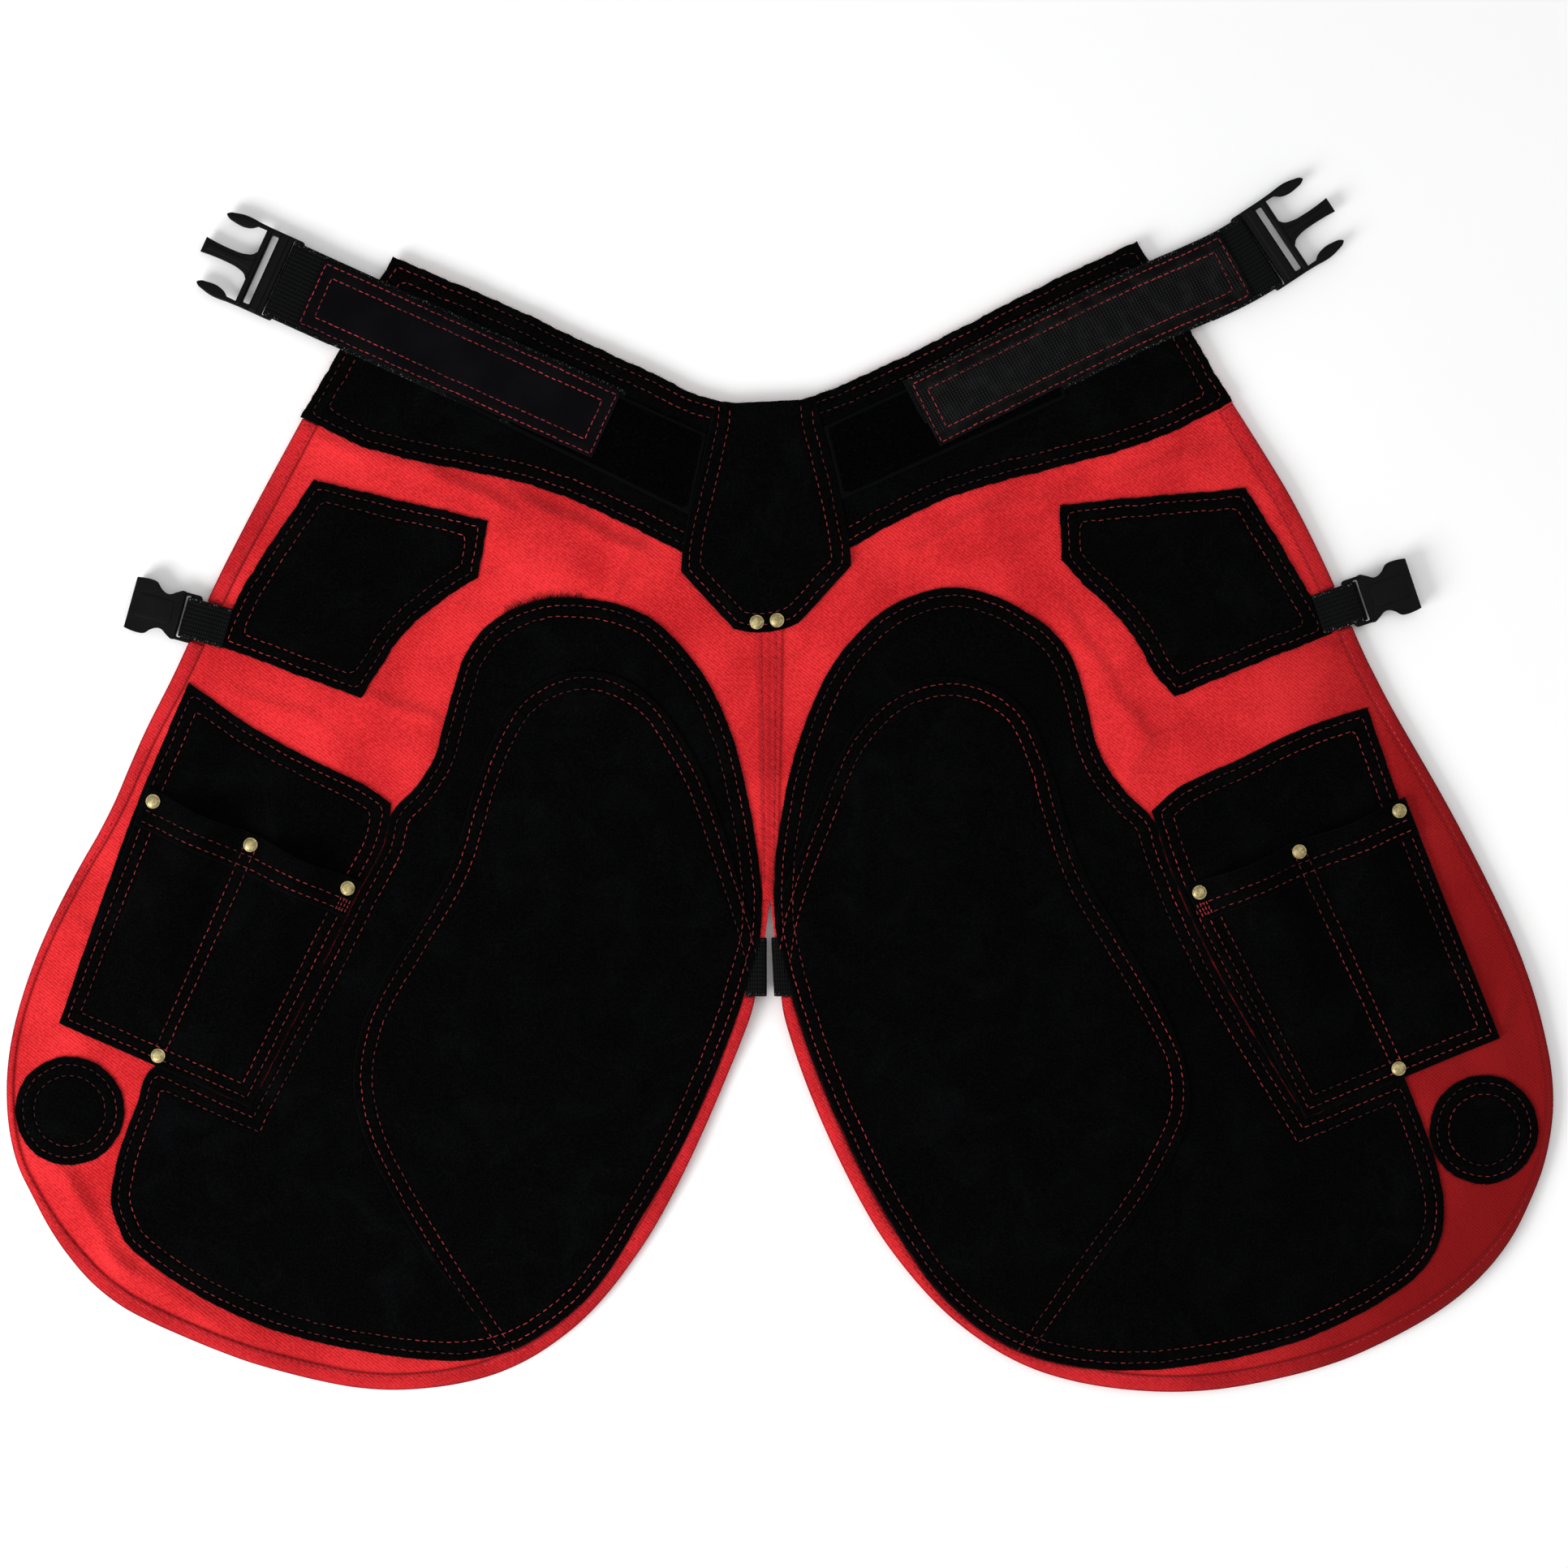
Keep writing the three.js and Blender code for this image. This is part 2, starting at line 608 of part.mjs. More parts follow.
// The side view with points added wherever it passes one of the marks along it
function marked(sideView, marks) {
  return sideView.flatMap((here, index) => {
    const next = sideView[(index + 1) % sideView.length];
    const run = next[0] - here[0];
    const between = marks.filter((mark) => (mark - here[0]) * (mark - next[0]) < 0);
    between.sort((one, other) => (one - other) * Math.sign(run));
    const slope = (next[1] - here[1]) / run;
    return [here, ...between.map((mark) => [mark, here[1] + slope * (mark - here[0])])];
  });
}

function beltLine(side) {
  const length = side.belt * BELT_LENGTH;
  const points = SWAY[side.name].map(([along, aside]) => {
    return new THREE.Vector2(along * length, aside * BELT_SWAY);
  });
  return new THREE.SplineCurve(points);
}

// A piece drawn along X, bent to follow the belt's line
function bent(geometry, side) {
  const line = beltLine(side);
  const corner = geometry.attributes.position;
  for (let index = 0; index < corner.count; index++) {
    const share = corner.getX(index) / (side.belt * BELT_LENGTH);
    const centre = line.getPointAt(share);
    const ahead = line.getTangentAt(share);
    const aside = corner.getY(index);
    corner.setXY(index, centre.x - aside * ahead.y, centre.y + aside * ahead.x);
  }
  return geometry;
}

// Places a piece that is drawn along X at a point and direction of the apron
function laid(piece, place, turn) {
  piece.position.set(place.x, place.y, 0);
  piece.rotation.z = THREE.MathUtils.degToRad(turn);
  return piece;
}

function plate(points, low, high) {
  return prism(
    points.map(([x, y]) => ({ x, y })),
    low,
    high,
  );
}

// The belt's webbing: it lies on the yoke's loop tape, runs out past the yoke to the buckle,
// turns round the buckle's end bar and comes back underneath.
function beltStrap(side) {
  const slot = side.belt * BELT_LENGTH;
  const barEnd = slot - BELT_SLOT / 2 - BELT_MIDDLE_BAR - WEBBING_SLOT;
  const barStart = barEnd - BELT_BAR_WIDTH;
  const outer = barEnd + GAP + WEBBING_THICK;
  const inner = outer - WEBBING_THICK;
  const barTop = WEBBING_THICK + GAP + BELT_BAR_THICK + GAP;
  const level = side.patch * BELT_LENGTH + PATCH_INSET + BEND;
  const raised = barStart - BEND;
  const tuck = outer - BELT_TUCK;
  const marks = SWAY[side.name].slice(1, -1).map(([along]) => along * slot);
  const strip = band(
    marked([
      [0, THIRD],
      [level, THIRD],
      [raised, barTop],
      [inner, barTop],
      [inner, WEBBING_THICK],
      [tuck, WEBBING_THICK],
      [tuck, 0],
      [outer - BEND, 0],
      [outer, BEND],
      [outer, barTop + WEBBING_THICK - BEND],
      [outer - BEND, barTop + WEBBING_THICK],
      [raised, barTop + WEBBING_THICK],
      [level, THIRD + WEBBING_THICK],
      [0, THIRD + WEBBING_THICK],
    ], marks),
    BELT_WIDTH,
  );
  return bent(strip, side);
}

function beltPatch(side) {
  const seat = THIRD + WEBBING_THICK + GAP;
  const parts = SWAY[side.name].length - 1;
  const length = side.patch * BELT_LENGTH;
  const patch = new THREE.BoxGeometry(length, PATCH_WIDTH, PATCH_THICK, parts);
  patch.translate(PATCH_INSET + length / 2, 0, seat + PATCH_THICK / 2);
  return bent(patch, side);
}

function spans(x0, y0, z0, x1, y1, z1) {
  return box(new THREE.Vector3(x0, y0, z0), new THREE.Vector3(x1, y1, z1));
}

// The plug half of the belt buckle, drawn along X from the middle of its open slot
function beltBuckle() {
  const middle = WEBBING_THICK + GAP + BELT_BAR_THICK / 2;
  const low = middle - BUCKLE_THICK / 2;
  const high = middle + BUCKLE_THICK / 2;
  const halfBelt = BELT_WIDTH / 2;
  const window = halfBelt + GAP;
  const rim = window + BUCKLE_RIM;
  const barEnd = -BELT_SLOT / 2 - BELT_MIDDLE_BAR - WEBBING_SLOT;
  const barStart = barEnd - BELT_BAR_WIDTH;
  const cross = BELT_SLOT / 2 + BELT_CROSS_BAR;
  const frame = spans(barStart, -rim, low, cross, rim, high);
  const openHalf = halfBelt - OPEN_SLOT_INSET;
  const openSlot = spans(-BELT_SLOT / 2, -openHalf, -DEEP, BELT_SLOT / 2, openHalf, DEEP);
  const webbingSlot = spans(barStart - GAP, -window, -DEEP, barEnd + WEBBING_SLOT, window, DEEP);
  const barLow = middle - BELT_BAR_THICK / 2;
  const endBar = spans(barStart, -rim, barLow, barEnd, rim, barLow + BELT_BAR_THICK);
  const guideSide = GUIDE.map(([along, across]) => [along * PLUG_REACH, across * halfBelt]);
  const guideOther = guideSide.map(([x, y]) => [x, -y]).reverse();
  const guide = plate([...guideSide, ...guideOther], middle - PLUG_THICK / 2, middle + PLUG_THICK / 2);
  const prong = PRONG.map(([along, across]) => [along * PRONG_REACH, across * halfBelt]);
  const otherProng = prong.map(([x, y]) => [x, -y]).reverse();
  const thick = PRONG_THICK / 2;
  return frame
    .subtract(openSlot)
    .subtract(webbingSlot)
    .add(endBar)
    .add(guide)
    .add(plate(prong, middle - thick, middle + thick))
    .add(plate(otherProng, middle - thick, middle + thick));
}

const strapLow = FIRST;
const strapHigh = FIRST + WEBBING_THICK + GAP;
const socketBarTop = strapHigh + SOCKET_BAR_THICK + GAP;

// The leg strap's webbing: both ends lie on the canvas at the hip patch, the bight holds the bar
function legStrap() {
  const outer = SOCKET_BAR_WIDTH + GAP + WEBBING_THICK - SOCKET_LENGTH;
  const inner = outer - WEBBING_THICK;
  const raised = -SOCKET_LENGTH - BEND;
  const level = raised - STRAP_SLOPE;
  const end = -SOCKET_LENGTH - STRAP_REACH;
  return band(
    [
      [end, strapLow],
      [outer, strapLow],
      [outer, socketBarTop + WEBBING_THICK],
      [raised, socketBarTop + WEBBING_THICK],
      [level, strapHigh + WEBBING_THICK],
      [end, strapHigh + WEBBING_THICK],
      [end, strapHigh],
      [level, strapHigh],
      [raised, socketBarTop],
      [inner, socketBarTop],
      [inner, strapLow + WEBBING_THICK],
      [end, strapLow + WEBBING_THICK],
    ],
    STRAP_WIDTH,
  );
}

// The leg strap's outline as it lies on the canvas
function strapOutline(side) {
  const edge = STRAP_WIDTH / 2 + GAP;
  const end = -SOCKET_LENGTH - STRAP_REACH;
  const corners = [
    new THREE.Vector2(end, -edge),
    new THREE.Vector2(0, -edge),
    new THREE.Vector2(0, edge),
    new THREE.Vector2(end, edge),
  ];
  const turn = THREE.MathUtils.degToRad(side.strapTurn);
  const centre = new THREE.Vector2();
  return corners.map((corner) => corner.rotateAround(centre, turn).add(point(SOCKET_MOUTH, side)));
}

// The socket half of the leg buckle, drawn along X from its mouth
function legBuckle() {
  const middle = strapHigh + SOCKET_BAR_THICK / 2;
  const low = middle - SOCKET_THICK / 2;
  const high = middle + SOCKET_THICK / 2;
  const window = STRAP_WIDTH / 2 + 2 * GAP;
  const outlined = (rows) => {
    const edge = rows.map(([along, across]) => [along * SOCKET_LENGTH, across * SOCKET_HALF_WIDTH]);
    return [...edge, ...edge.map(([x, y]) => [x, -y]).reverse()];
  };
  const barEnd = SOCKET_BAR_WIDTH - SOCKET_LENGTH;
  const slotEnd = barEnd + SOCKET_SLOT;
  const hollow = SOCKET_HALF_WIDTH - SOCKET_CHEEK;
  const back = slotEnd + SOCKET_BACK;
  const cavity = spans(back, -hollow, low + SOCKET_WALL, GAP, hollow, high - SOCKET_WALL);
  const slot = spans(-SOCKET_LENGTH - GAP, -window, -DEEP, slotEnd, window, DEEP);
  const barTop = strapHigh + SOCKET_BAR_THICK;
  const arms = plate(outlined(SOCKET_ARMS), strapHigh - SOCKET_ARM_EXTRA, barTop + SOCKET_ARM_EXTRA);
  const barHalf = window + SOCKET_WALL / 2;
  const bar = spans(-SOCKET_LENGTH, -barHalf, strapHigh, barEnd, barHalf, barTop);
  return plate(outlined(SOCKET), low, high).subtract(cavity).add(arms).subtract(slot).add(bar);
}

// The hem: a band along the edge of the leg from the yoke's corner round to the crotch
function hem(edge, side) {
  const inner = edge.map((here, index) => {
    const before = edge[Math.max(index - 1, 0)];
    const after = edge[Math.min(index + 1, edge.length - 1)];
    return pushed(before, here, after, side.sign * here.z);
  });
  return [...edge, ...inner.reverse()];
}

// The place of the thigh tab: across the inner edge of the leg
function tabOutline(side) {
  const centre = WAIST_HEIGHT - THIGH_TAB_DOWN * LEG_LENGTH;
  const edge = JOINT_X - (side.sign * TAB_REACH) / 4;
  const inside = JOINT_X + side.sign * TAB_REACH;
  return [
    new THREE.Vector2(edge, centre - TAB_HEIGHT / 2),
    new THREE.Vector2(inside, centre - TAB_HEIGHT / 2),
    new THREE.Vector2(inside, centre + TAB_HEIGHT / 2),
    new THREE.Vector2(edge, centre + TAB_HEIGHT / 2),
  ];
}

// The webbing tab that comes out from under the leg pad and wraps round the inner edge of the leg
function thighTab(side, leg, pad) {
  const area = prism(grow(leg, GAP + WEBBING_THICK)).intersect(prism(tabOutline(side)));
  const whole = grow(leg, 2 * TAB_REACH);
  const under = -GAP - WEBBING_THICK;
  const upper = sheet(whole, FIRST, FIRST + WEBBING_THICK).subtract(prism(grow(pad, GAP)));
  const lower = sheet(whole, under, -GAP);
  const edge = sheet(whole, under, FIRST + WEBBING_THICK).subtract(prism(grow(leg, GAP)));
  return upper.add(lower).add(edge).intersect(area);
}

const apron = new THREE.Group();
const tongueOutline = [
  ...chain(TONGUE, SIDES[0]),
  ...chain(TONGUE, SIDES[1]).reverse(),
];
const tongueRivets = tongueRivetPlaces();
const yokeFoot = WAIST_HEIGHT - YOKE.at(-1).left[1] * LEG_LENGTH;
const crotch = WAIST_HEIGHT - CANVAS.at(-1).left[1] * LEG_LENGTH;
const seamOutline = [
  { x: JOINT_X - SEAM_WIDTH / 2, y: yokeFoot - 2 * GAP },
  { x: JOINT_X + SEAM_WIDTH / 2, y: yokeFoot - 2 * GAP },
  { x: JOINT_X + SEAM_FOOT_WIDTH / 2, y: crotch + SEAM_SHORT },
  { x: JOINT_X - SEAM_FOOT_WIDTH / 2, y: crotch + SEAM_SHORT },
];
let seam = drilled(sheet(seamOutline, FIRST, FIRST + HEM_THICK), tongueRivets);

for (const side of SIDES) {
  const named = (name) => `${name}_${side.name}`;
  const leg = outline(CANVAS, side);
  const yoke = outline(YOKE, side);
  const pocket = outline(TOOL_POCKET, side);
  const pad = outline(LEG_PAD, side);
  const hip = outline(HIP_PATCH, side);
  const pocketRivets = pocketRivetPlaces(side);
  const nailPlace = point(NAIL_PATCH, side);
  const nailOutline = new THREE.EllipseCurve(nailPlace.x, nailPlace.y, NAIL_PATCH_RADIUS, NAIL_PATCH_RADIUS)
    .getPoints(NAIL_PATCH_SIDES)
    .slice(0, -1);

  const rivetPlaces = [...tongueRivets, ...pocketRivets];
  const legPiece = drilled(sheet(leg, 0, CANVAS_THICK).intersect(half(side)), rivetPlaces);
  apron.add(mesh(named("canvas"), legPiece, COLOURS.canvas));

  const yokePiece = sheet(yoke, FIRST, FIRST + SUEDE_THICK).intersect(half(side));
  apron.add(mesh(named("yoke"), yokePiece, COLOURS.suede));

  const tape = sheet(outline(LOOP_TAPE, side), SECOND, SECOND + TAPE_THICK);
  const tapePiece = tape.subtract(prism(grow(tongueOutline, 2 * GAP)));
  apron.add(mesh(named("loop_tape"), tapePiece, COLOURS.tape));

  const pocketCut = prism(grow(pocket, GAP));
  const padPiece = sheet(pad, FIRST, FIRST + SUEDE_THICK).subtract(pocketCut);
  apron.add(mesh(named("leg_pad"), padPiece, COLOURS.suede));

  const knee = sheet(outline(KNEE_PATCH, side), SECOND, SECOND + SUEDE_THICK);
  apron.add(mesh(named("knee_patch"), knee.intersect(prism(grow(pad, -2 * GAP))), COLOURS.suede));

  apron.add(mesh(named("hip_patch"), sheet(hip, FIRST, FIRST + SUEDE_THICK), COLOURS.suede));
  apron.add(mesh(named("nail_patch"), sheet(nailOutline, FIRST, FIRST + SUEDE_THICK), COLOURS.suede));

  const backPiece = drilled(sheet(pocket, FIRST, FIRST + SUEDE_THICK), pocketRivets);
  apron.add(mesh(named("tool_pocket_back"), backPiece, COLOURS.suede));
  const frontPiece = drilled(pocketWall(side, SECOND, SECOND + SUEDE_THICK, 1), pocketRivets);
  apron.add(mesh(named("tool_pocket_front"), frontPiece, COLOURS.suede));
  const bandSeat = SECOND + SUEDE_THICK + GAP;
  const bandReach = POCKET_BAND / pocketSize(side).length;
  const bandPiece = drilled(pocketWall(side, bandSeat, bandSeat + SUEDE_THICK, bandReach), pocketRivets);
  apron.add(mesh(named("tool_pocket_band"), bandPiece, COLOURS.suede));
  pocketRivets.forEach((place, index) => {
    const seat = index < MOUTH_RIVETS ? bandSeat + SUEDE_THICK + GAP : bandSeat;
    const fixed = mesh(named(`pocket_rivet_${index + 1}`), rivet(seat), COLOURS.brass);
    apron.add(laid(fixed, place, 0));
  });

  const strapPlace = point(SOCKET_MOUTH, side);
  const strap = legStrap();
  strap.rotateZ(THREE.MathUtils.degToRad(side.strapTurn));
  strap.translate(strapPlace.x, strapPlace.y, 0);
  const strapPiece = solid(strap).subtract(prism(grow(hip, GAP)));
  apron.add(mesh(named("leg_strap"), strapPiece, COLOURS.webbing));
  const socket = mesh(named("leg_buckle"), legBuckle(), COLOURS.plastic);
  apron.add(laid(socket, strapPlace, side.strapTurn));

  const tab = thighTab(side, leg, pad);
  apron.add(mesh(named("thigh_tab"), tab, COLOURS.webbing));

  const hemRows = CANVAS.slice(HEM_FROM);
  let hemPiece = sheet(hem(chain(hemRows, side), side), FIRST, FIRST + HEM_THICK);
  for (const other of [yoke, pocket, pad, nailOutline, strapOutline(side), tabOutline(side)]) {
    hemPiece = hemPiece.subtract(prism(grow(other, GAP)));
  }
  hemPiece
    .decompose()
    .filter((length) => length.volume() > HEM_SCRAP)
    .forEach((length, index) => apron.add(mesh(named(`hem_${index + 1}`), length, COLOURS.hem)));
  seam = seam.subtract(prism(grow(pad, GAP)));

  const beltPlace = point(BELT_END, side);
  apron.add(laid(mesh(named("belt_strap"), beltStrap(side), COLOURS.webbing), beltPlace, side.beltTurn));
  apron.add(laid(mesh(named("belt_patch"), beltPatch(side), COLOURS.leather), beltPlace, side.beltTurn));
  const buckle = mesh(named("belt_buckle"), beltBuckle(), COLOURS.plastic);
  const beltTurn = THREE.MathUtils.degToRad(side.beltTurn);
  const slotPlace = beltLine(side).getPointAt(1).rotateAround(new THREE.Vector2(), beltTurn).add(beltPlace);
  const buckleTurn = side.beltTurn + THREE.MathUtils.radToDeg(beltLine(side).getTangentAt(1).angle());
  apron.add(laid(buckle, slotPlace, buckleTurn));

  const tongueSeat = SECOND + SUEDE_THICK + GAP;
  const tongueRivet = mesh(named("tongue_rivet"), rivet(tongueSeat), COLOURS.brass);
  apron.add(laid(tongueRivet, point(TONGUE_RIVET, side), 0));
}

apron.add(mesh("centre_seam", seam, COLOURS.hem));
const tonguePiece = drilled(sheet(tongueOutline, SECOND, SECOND + SUEDE_THICK), tongueRivets);
apron.add(mesh("tongue", tonguePiece, COLOURS.suede));

export default apron;
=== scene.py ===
"""A farrier's apron laid flat and face up.

Two red canvas legs carry black suede pieces sewn on with red thread, a belt in two halves, a short
strap on each thigh, moulded buckles and brass rivets. Lengths in the tables and functions are
millimetres in the frame of the CAD, and finished meshes are in metres.
"""

import json
import math

import bmesh
import bpy
import numpy as np
from mathutils import Matrix, Vector
from mathutils.geometry import delaunay_2d_cdt


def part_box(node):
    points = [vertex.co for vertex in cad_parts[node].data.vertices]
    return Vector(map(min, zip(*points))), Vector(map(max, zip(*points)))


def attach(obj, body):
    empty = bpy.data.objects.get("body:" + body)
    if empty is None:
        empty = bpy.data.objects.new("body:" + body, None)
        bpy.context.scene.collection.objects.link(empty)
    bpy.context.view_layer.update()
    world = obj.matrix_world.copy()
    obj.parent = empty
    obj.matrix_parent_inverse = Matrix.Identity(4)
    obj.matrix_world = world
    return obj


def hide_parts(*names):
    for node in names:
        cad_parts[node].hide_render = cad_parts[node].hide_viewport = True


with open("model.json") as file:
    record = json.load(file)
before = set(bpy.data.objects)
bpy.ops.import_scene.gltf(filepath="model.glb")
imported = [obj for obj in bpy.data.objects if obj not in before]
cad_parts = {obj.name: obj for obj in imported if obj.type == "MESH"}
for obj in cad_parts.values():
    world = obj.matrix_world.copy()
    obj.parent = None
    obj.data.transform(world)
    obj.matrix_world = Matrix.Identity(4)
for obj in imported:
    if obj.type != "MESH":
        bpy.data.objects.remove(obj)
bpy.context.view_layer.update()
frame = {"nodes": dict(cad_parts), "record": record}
MM = 0.001
SIDES = ("left", "right")
rng = np.random.default_rng(7)

# Thickness of each material, and the height of each layer's underside above the floor
CANVAS_THICK = 1.6
HEM_THICK = 1.2
SUEDE_THICK = 1.4
TAPE_THICK = 1.4
WEBBING_THICK = 1.5
PATCH_THICK = 1.2
GAP = 0.3
FIRST = CANVAS_THICK + GAP
SECOND = FIRST + SUEDE_THICK + GAP
THIRD = SECOND + SUEDE_THICK + GAP

# The two rows of stitches along a suede edge, the stitches, and how deep they pull the suede in
OUTER_ROW = 4.7
INNER_ROW = 11.5
STITCH_PITCH = 4.9
STITCH_LENGTH = 3.2
STITCH_RADIUS = 0.36
SUNK = 0.15
PULL = 0.45
HEM_PITCH = 4.2

# Broad folds of the whole apron: centre, turn of the crest in degrees, length, width, height
FOLDS = [
    (-157, 149, -21, 212, 61, 5.5),
    (-262, 46, 21, 105, 52, 3.5),
    (-238, 37, -20, 110, 60, 3.0),
    (-124, -151, 75, 340, 200, 4.2),
    (-405, -290, -45, 140, 67, 3.6),
    (-330, -345, -20, 120, 40, 2.5),
    (143, 152, 30, 134, 55, 4.5),
    (190, 190, 22, 90, 30, 2.5),
    (224, 28, 25, 97, 60, 3.5),
    (124, -151, -75, 340, 200, 4.2),
    (428, -303, 50, 140, 67, 3.6),
    (0, -120, 0, 176, 176, 4.2),
    (-60, 105, 60, 120, 50, 2.0),
    (60, 110, -60, 120, 50, 2.0),
    (-430, -190, 70, 150, 40, 2.0),
    (440, -150, -70, 170, 40, 2.0),
]

# Creases in the bare canvas: from one end to the other, width, height
CREASES = [
    (-204, 183, -160, 163, 9, 2.0),
    (-143, 164, -84, 138, 15, 2.3),
    (-272, 204, -219, 189, 12, 1.8),
    (-79, 143, -93, 116, 14, 1.4),
    (-219, 87, -246, 60, 16, 1.7),
    (-242, 45, -199, 30, 12, 1.9),
    (-318, 46, -282, 34, 12, 1.5),
    (-180, 120, -150, 128, 20, 1.2),
    (-120, 100, -96, 70, 18, 1.2),
    (165, 166, 188, 177, 6, 1.9),
    (162, 153, 181, 166, 6, 1.7),
    (92, 137, 131, 160, 13, 2.0),
    (120, 128, 150, 140, 12, 1.4),
    (217, 181, 283, 203, 13, 1.9),
    (300, 190, 318, 160, 14, 1.4),
    (261, 56, 350, 78, 11, 1.9),
    (188, 90, 227, 28, 16, 1.7),
    (212, -12, 231, 18, 9, 1.6),
    (240, 20, 290, 40, 14, 1.3),
    (-456, -246, -428, -290, 10, 1.9),
    (-430, -250, -396, -302, 11, 1.9),
    (-402, -298, -348, -332, 12, 1.7),
    (-446, -214, -420, -262, 9, 1.4),
    (-452, -70, -420, -96, 14, 1.3),
    (468, -120, 448, -160, 12, 1.3),
    (455, -290, 420, -330, 12, 1.6),
    (400, -345, 350, -368, 12, 1.4),
]
RIPPLES = [(rng.uniform(0, 6.28), rng.uniform(55, 170), rng.uniform(0, 6.28)) for _ in range(14)]
RIPPLE_HEIGHT = 0.16


def ground(x, y):
    """How far the underside of the canvas stands above the floor."""
    height = np.zeros(np.shape(x))
    for cx, cy, turn, length, width, rise in FOLDS:
        c, s = math.cos(math.radians(turn)), math.sin(math.radians(turn))
        along = np.clip(2 * ((x - cx) * c + (y - cy) * s) / length, -1, 1)
        across = np.clip(2 * ((y - cy) * c - (x - cx) * s) / width, -1, 1)
        height += rise * (np.cos(np.pi / 2 * along) * np.cos(np.pi / 2 * across)) ** 2
    for turn, wave, start in RIPPLES:
        turned = x * math.cos(turn) + y * math.sin(turn)
        height += RIPPLE_HEIGHT * (1 + np.sin(turned * 2 * math.pi / wave + start))
    return height


def creased(x, y):
    """Height of the creases in the bare canvas."""
    height = np.zeros(np.shape(x))
    for x0, y0, x1, y1, width, rise in CREASES:
        run = np.array([x1 - x0, y1 - y0], float)
        length = np.hypot(*run)
        along = ((x - x0) * run[0] + (y - y0) * run[1]) / length
        across = ((y - y0) * run[0] - (x - x0) * run[1]) / length + 0.06 * width * np.sin(along / 7)
        beyond = np.maximum(np.abs(along - length / 2) - length / 2, 0)
        steep = np.where(across > 0, 0.3, 0.9) * width * 0.62
        height += 1.5 * rise * np.exp(-((across / steep) ** 2) - (beyond / width) ** 2)
    return height


# Lines and outlines


def curve_through(points, step, closed=False):
    """A smooth line through the points, sampled about every step."""
    points = np.asarray(points, float)
    run = np.roll(points, -1, 0) - points
    run = run if closed else run[:-1]
    length = np.linalg.norm(run, axis=1)
    slope = run / length[:, None]
    if closed:
        before, reach = np.roll(slope, 1, 0), np.roll(length, 1)
        tangent = (slope * reach[:, None] + before * length[:, None]) / (reach + length)[:, None]
    elif len(points) == 2:
        tangent = np.array([slope[0], slope[0]])
    else:
        weighted = slope[1:] * length[:-1, None] + slope[:-1] * length[1:, None]
        inner = weighted / (length[1:] + length[:-1])[:, None]
        first, last = 1.5 * slope[:1] - 0.5 * inner[:1], 1.5 * slope[-1:] - 0.5 * inner[-1:]
        tangent = np.vstack([first, inner, last])
    pieces = []
    for index, reach in enumerate(length):
        after = (index + 1) % len(points)
        count = max(1, math.ceil(reach / step))
        t = (np.arange(count) / count)[:, None]
        pieces.append(
            (2 * t**3 - 3 * t**2 + 1) * points[index]
            + (t**3 - 2 * t**2 + t) * reach * tangent[index]
            + (3 * t**2 - 2 * t**3) * points[after]
            + (t**3 - t**2) * reach * tangent[after]
        )
    if not closed:
        pieces.append(points[-1:])
    return np.concatenate(pieces)


def lengths_along(line):
    """How far along the line each of its points is."""
    return np.concatenate([[0], np.cumsum(np.linalg.norm(np.diff(line, axis=0), axis=1))])


def evenly(line, step):
    """The line sampled at even distances."""
    line = np.asarray(line, float)
    length = lengths_along(line)
    at = np.linspace(0, length[-1], max(2, round(length[-1] / step) + 1))
    return np.stack([np.interp(at, length, line[:, k]) for k in range(line.shape[1])], 1)


def direction(line):
    """Which way the line runs at each of its points."""
    ahead = np.gradient(line, axis=0)
    return ahead / np.linalg.norm(ahead, axis=1)[:, None]


def beside(line, distance):
    """The line moved to its left by a distance."""
    ahead = direction(line)
    return line + distance * np.stack([-ahead[:, 1], ahead[:, 0]], 1)


def turns(loop):
    """How far a closed loop turns at each point, in degrees."""
    before, after = loop - np.roll(loop, 1, 0), np.roll(loop, -1, 0) - loop
    cross = before[:, 0] * after[:, 1] - before[:, 1] * after[:, 0]
    return np.degrees(np.arctan2(cross, (before * after).sum(1)))


def thinned(loop):
    """The loop without doubled points and without points on straight runs."""
    loop = loop[np.linalg.norm(loop - np.roll(loop, 1, 0), axis=1) > 1.0]
    return loop[np.abs(turns(loop)) > 0.5]


def smoothed(loop, step, corner):
    """The loop as a smooth line that is sharp only at its corners."""
    loop = thinned(loop)
    corners = np.flatnonzero(np.abs(turns(loop)) > corner)
    if len(corners) == 0:
        return curve_through(loop, step, closed=True)
    loop = np.roll(loop, -corners[0], 0)
    corners = np.append(corners - corners[0], len(loop))
    loop = np.vstack([loop, loop[:1]])
    runs = [curve_through(loop[a : b + 1], step)[:-1] for a, b in zip(corners, corners[1:])]
    return np.concatenate(runs)


def area_of(loop):
    """The area of a loop, less than 0 if it runs clockwise."""
    x, y = loop.T
    return 0.5 * np.sum(x * np.roll(y, -1) - y * np.roll(x, -1))


def anticlockwise(loop):
    return loop if area_of(loop) > 0 else loop[::-1]


def nearest(points, line):
    """How far each point is from a line, and how far along the line its nearest place is."""
    starts, run = line[:-1], np.diff(line, axis=0)
    reach = np.maximum(np.linalg.norm(run, axis=1), 1e-9)
    walked = lengths_along(line)[:-1]
    away, along = np.empty(len(points)), np.empty(len(points))
    for first in range(0, len(points), 1500):
        some = points[first : first + 1500]
        share = np.clip(((some[:, None] - starts) * run).sum(2) / reach**2, 0, 1)
        gap = np.linalg.norm(some[:, None] - starts - share[..., None] * run, axis=2)
        best, row = gap.argmin(1), np.arange(len(some))
        away[first : first + 1500] = gap[row, best]
        along[first : first + 1500] = walked[best] + share[row, best] * reach[best]
    return away, along


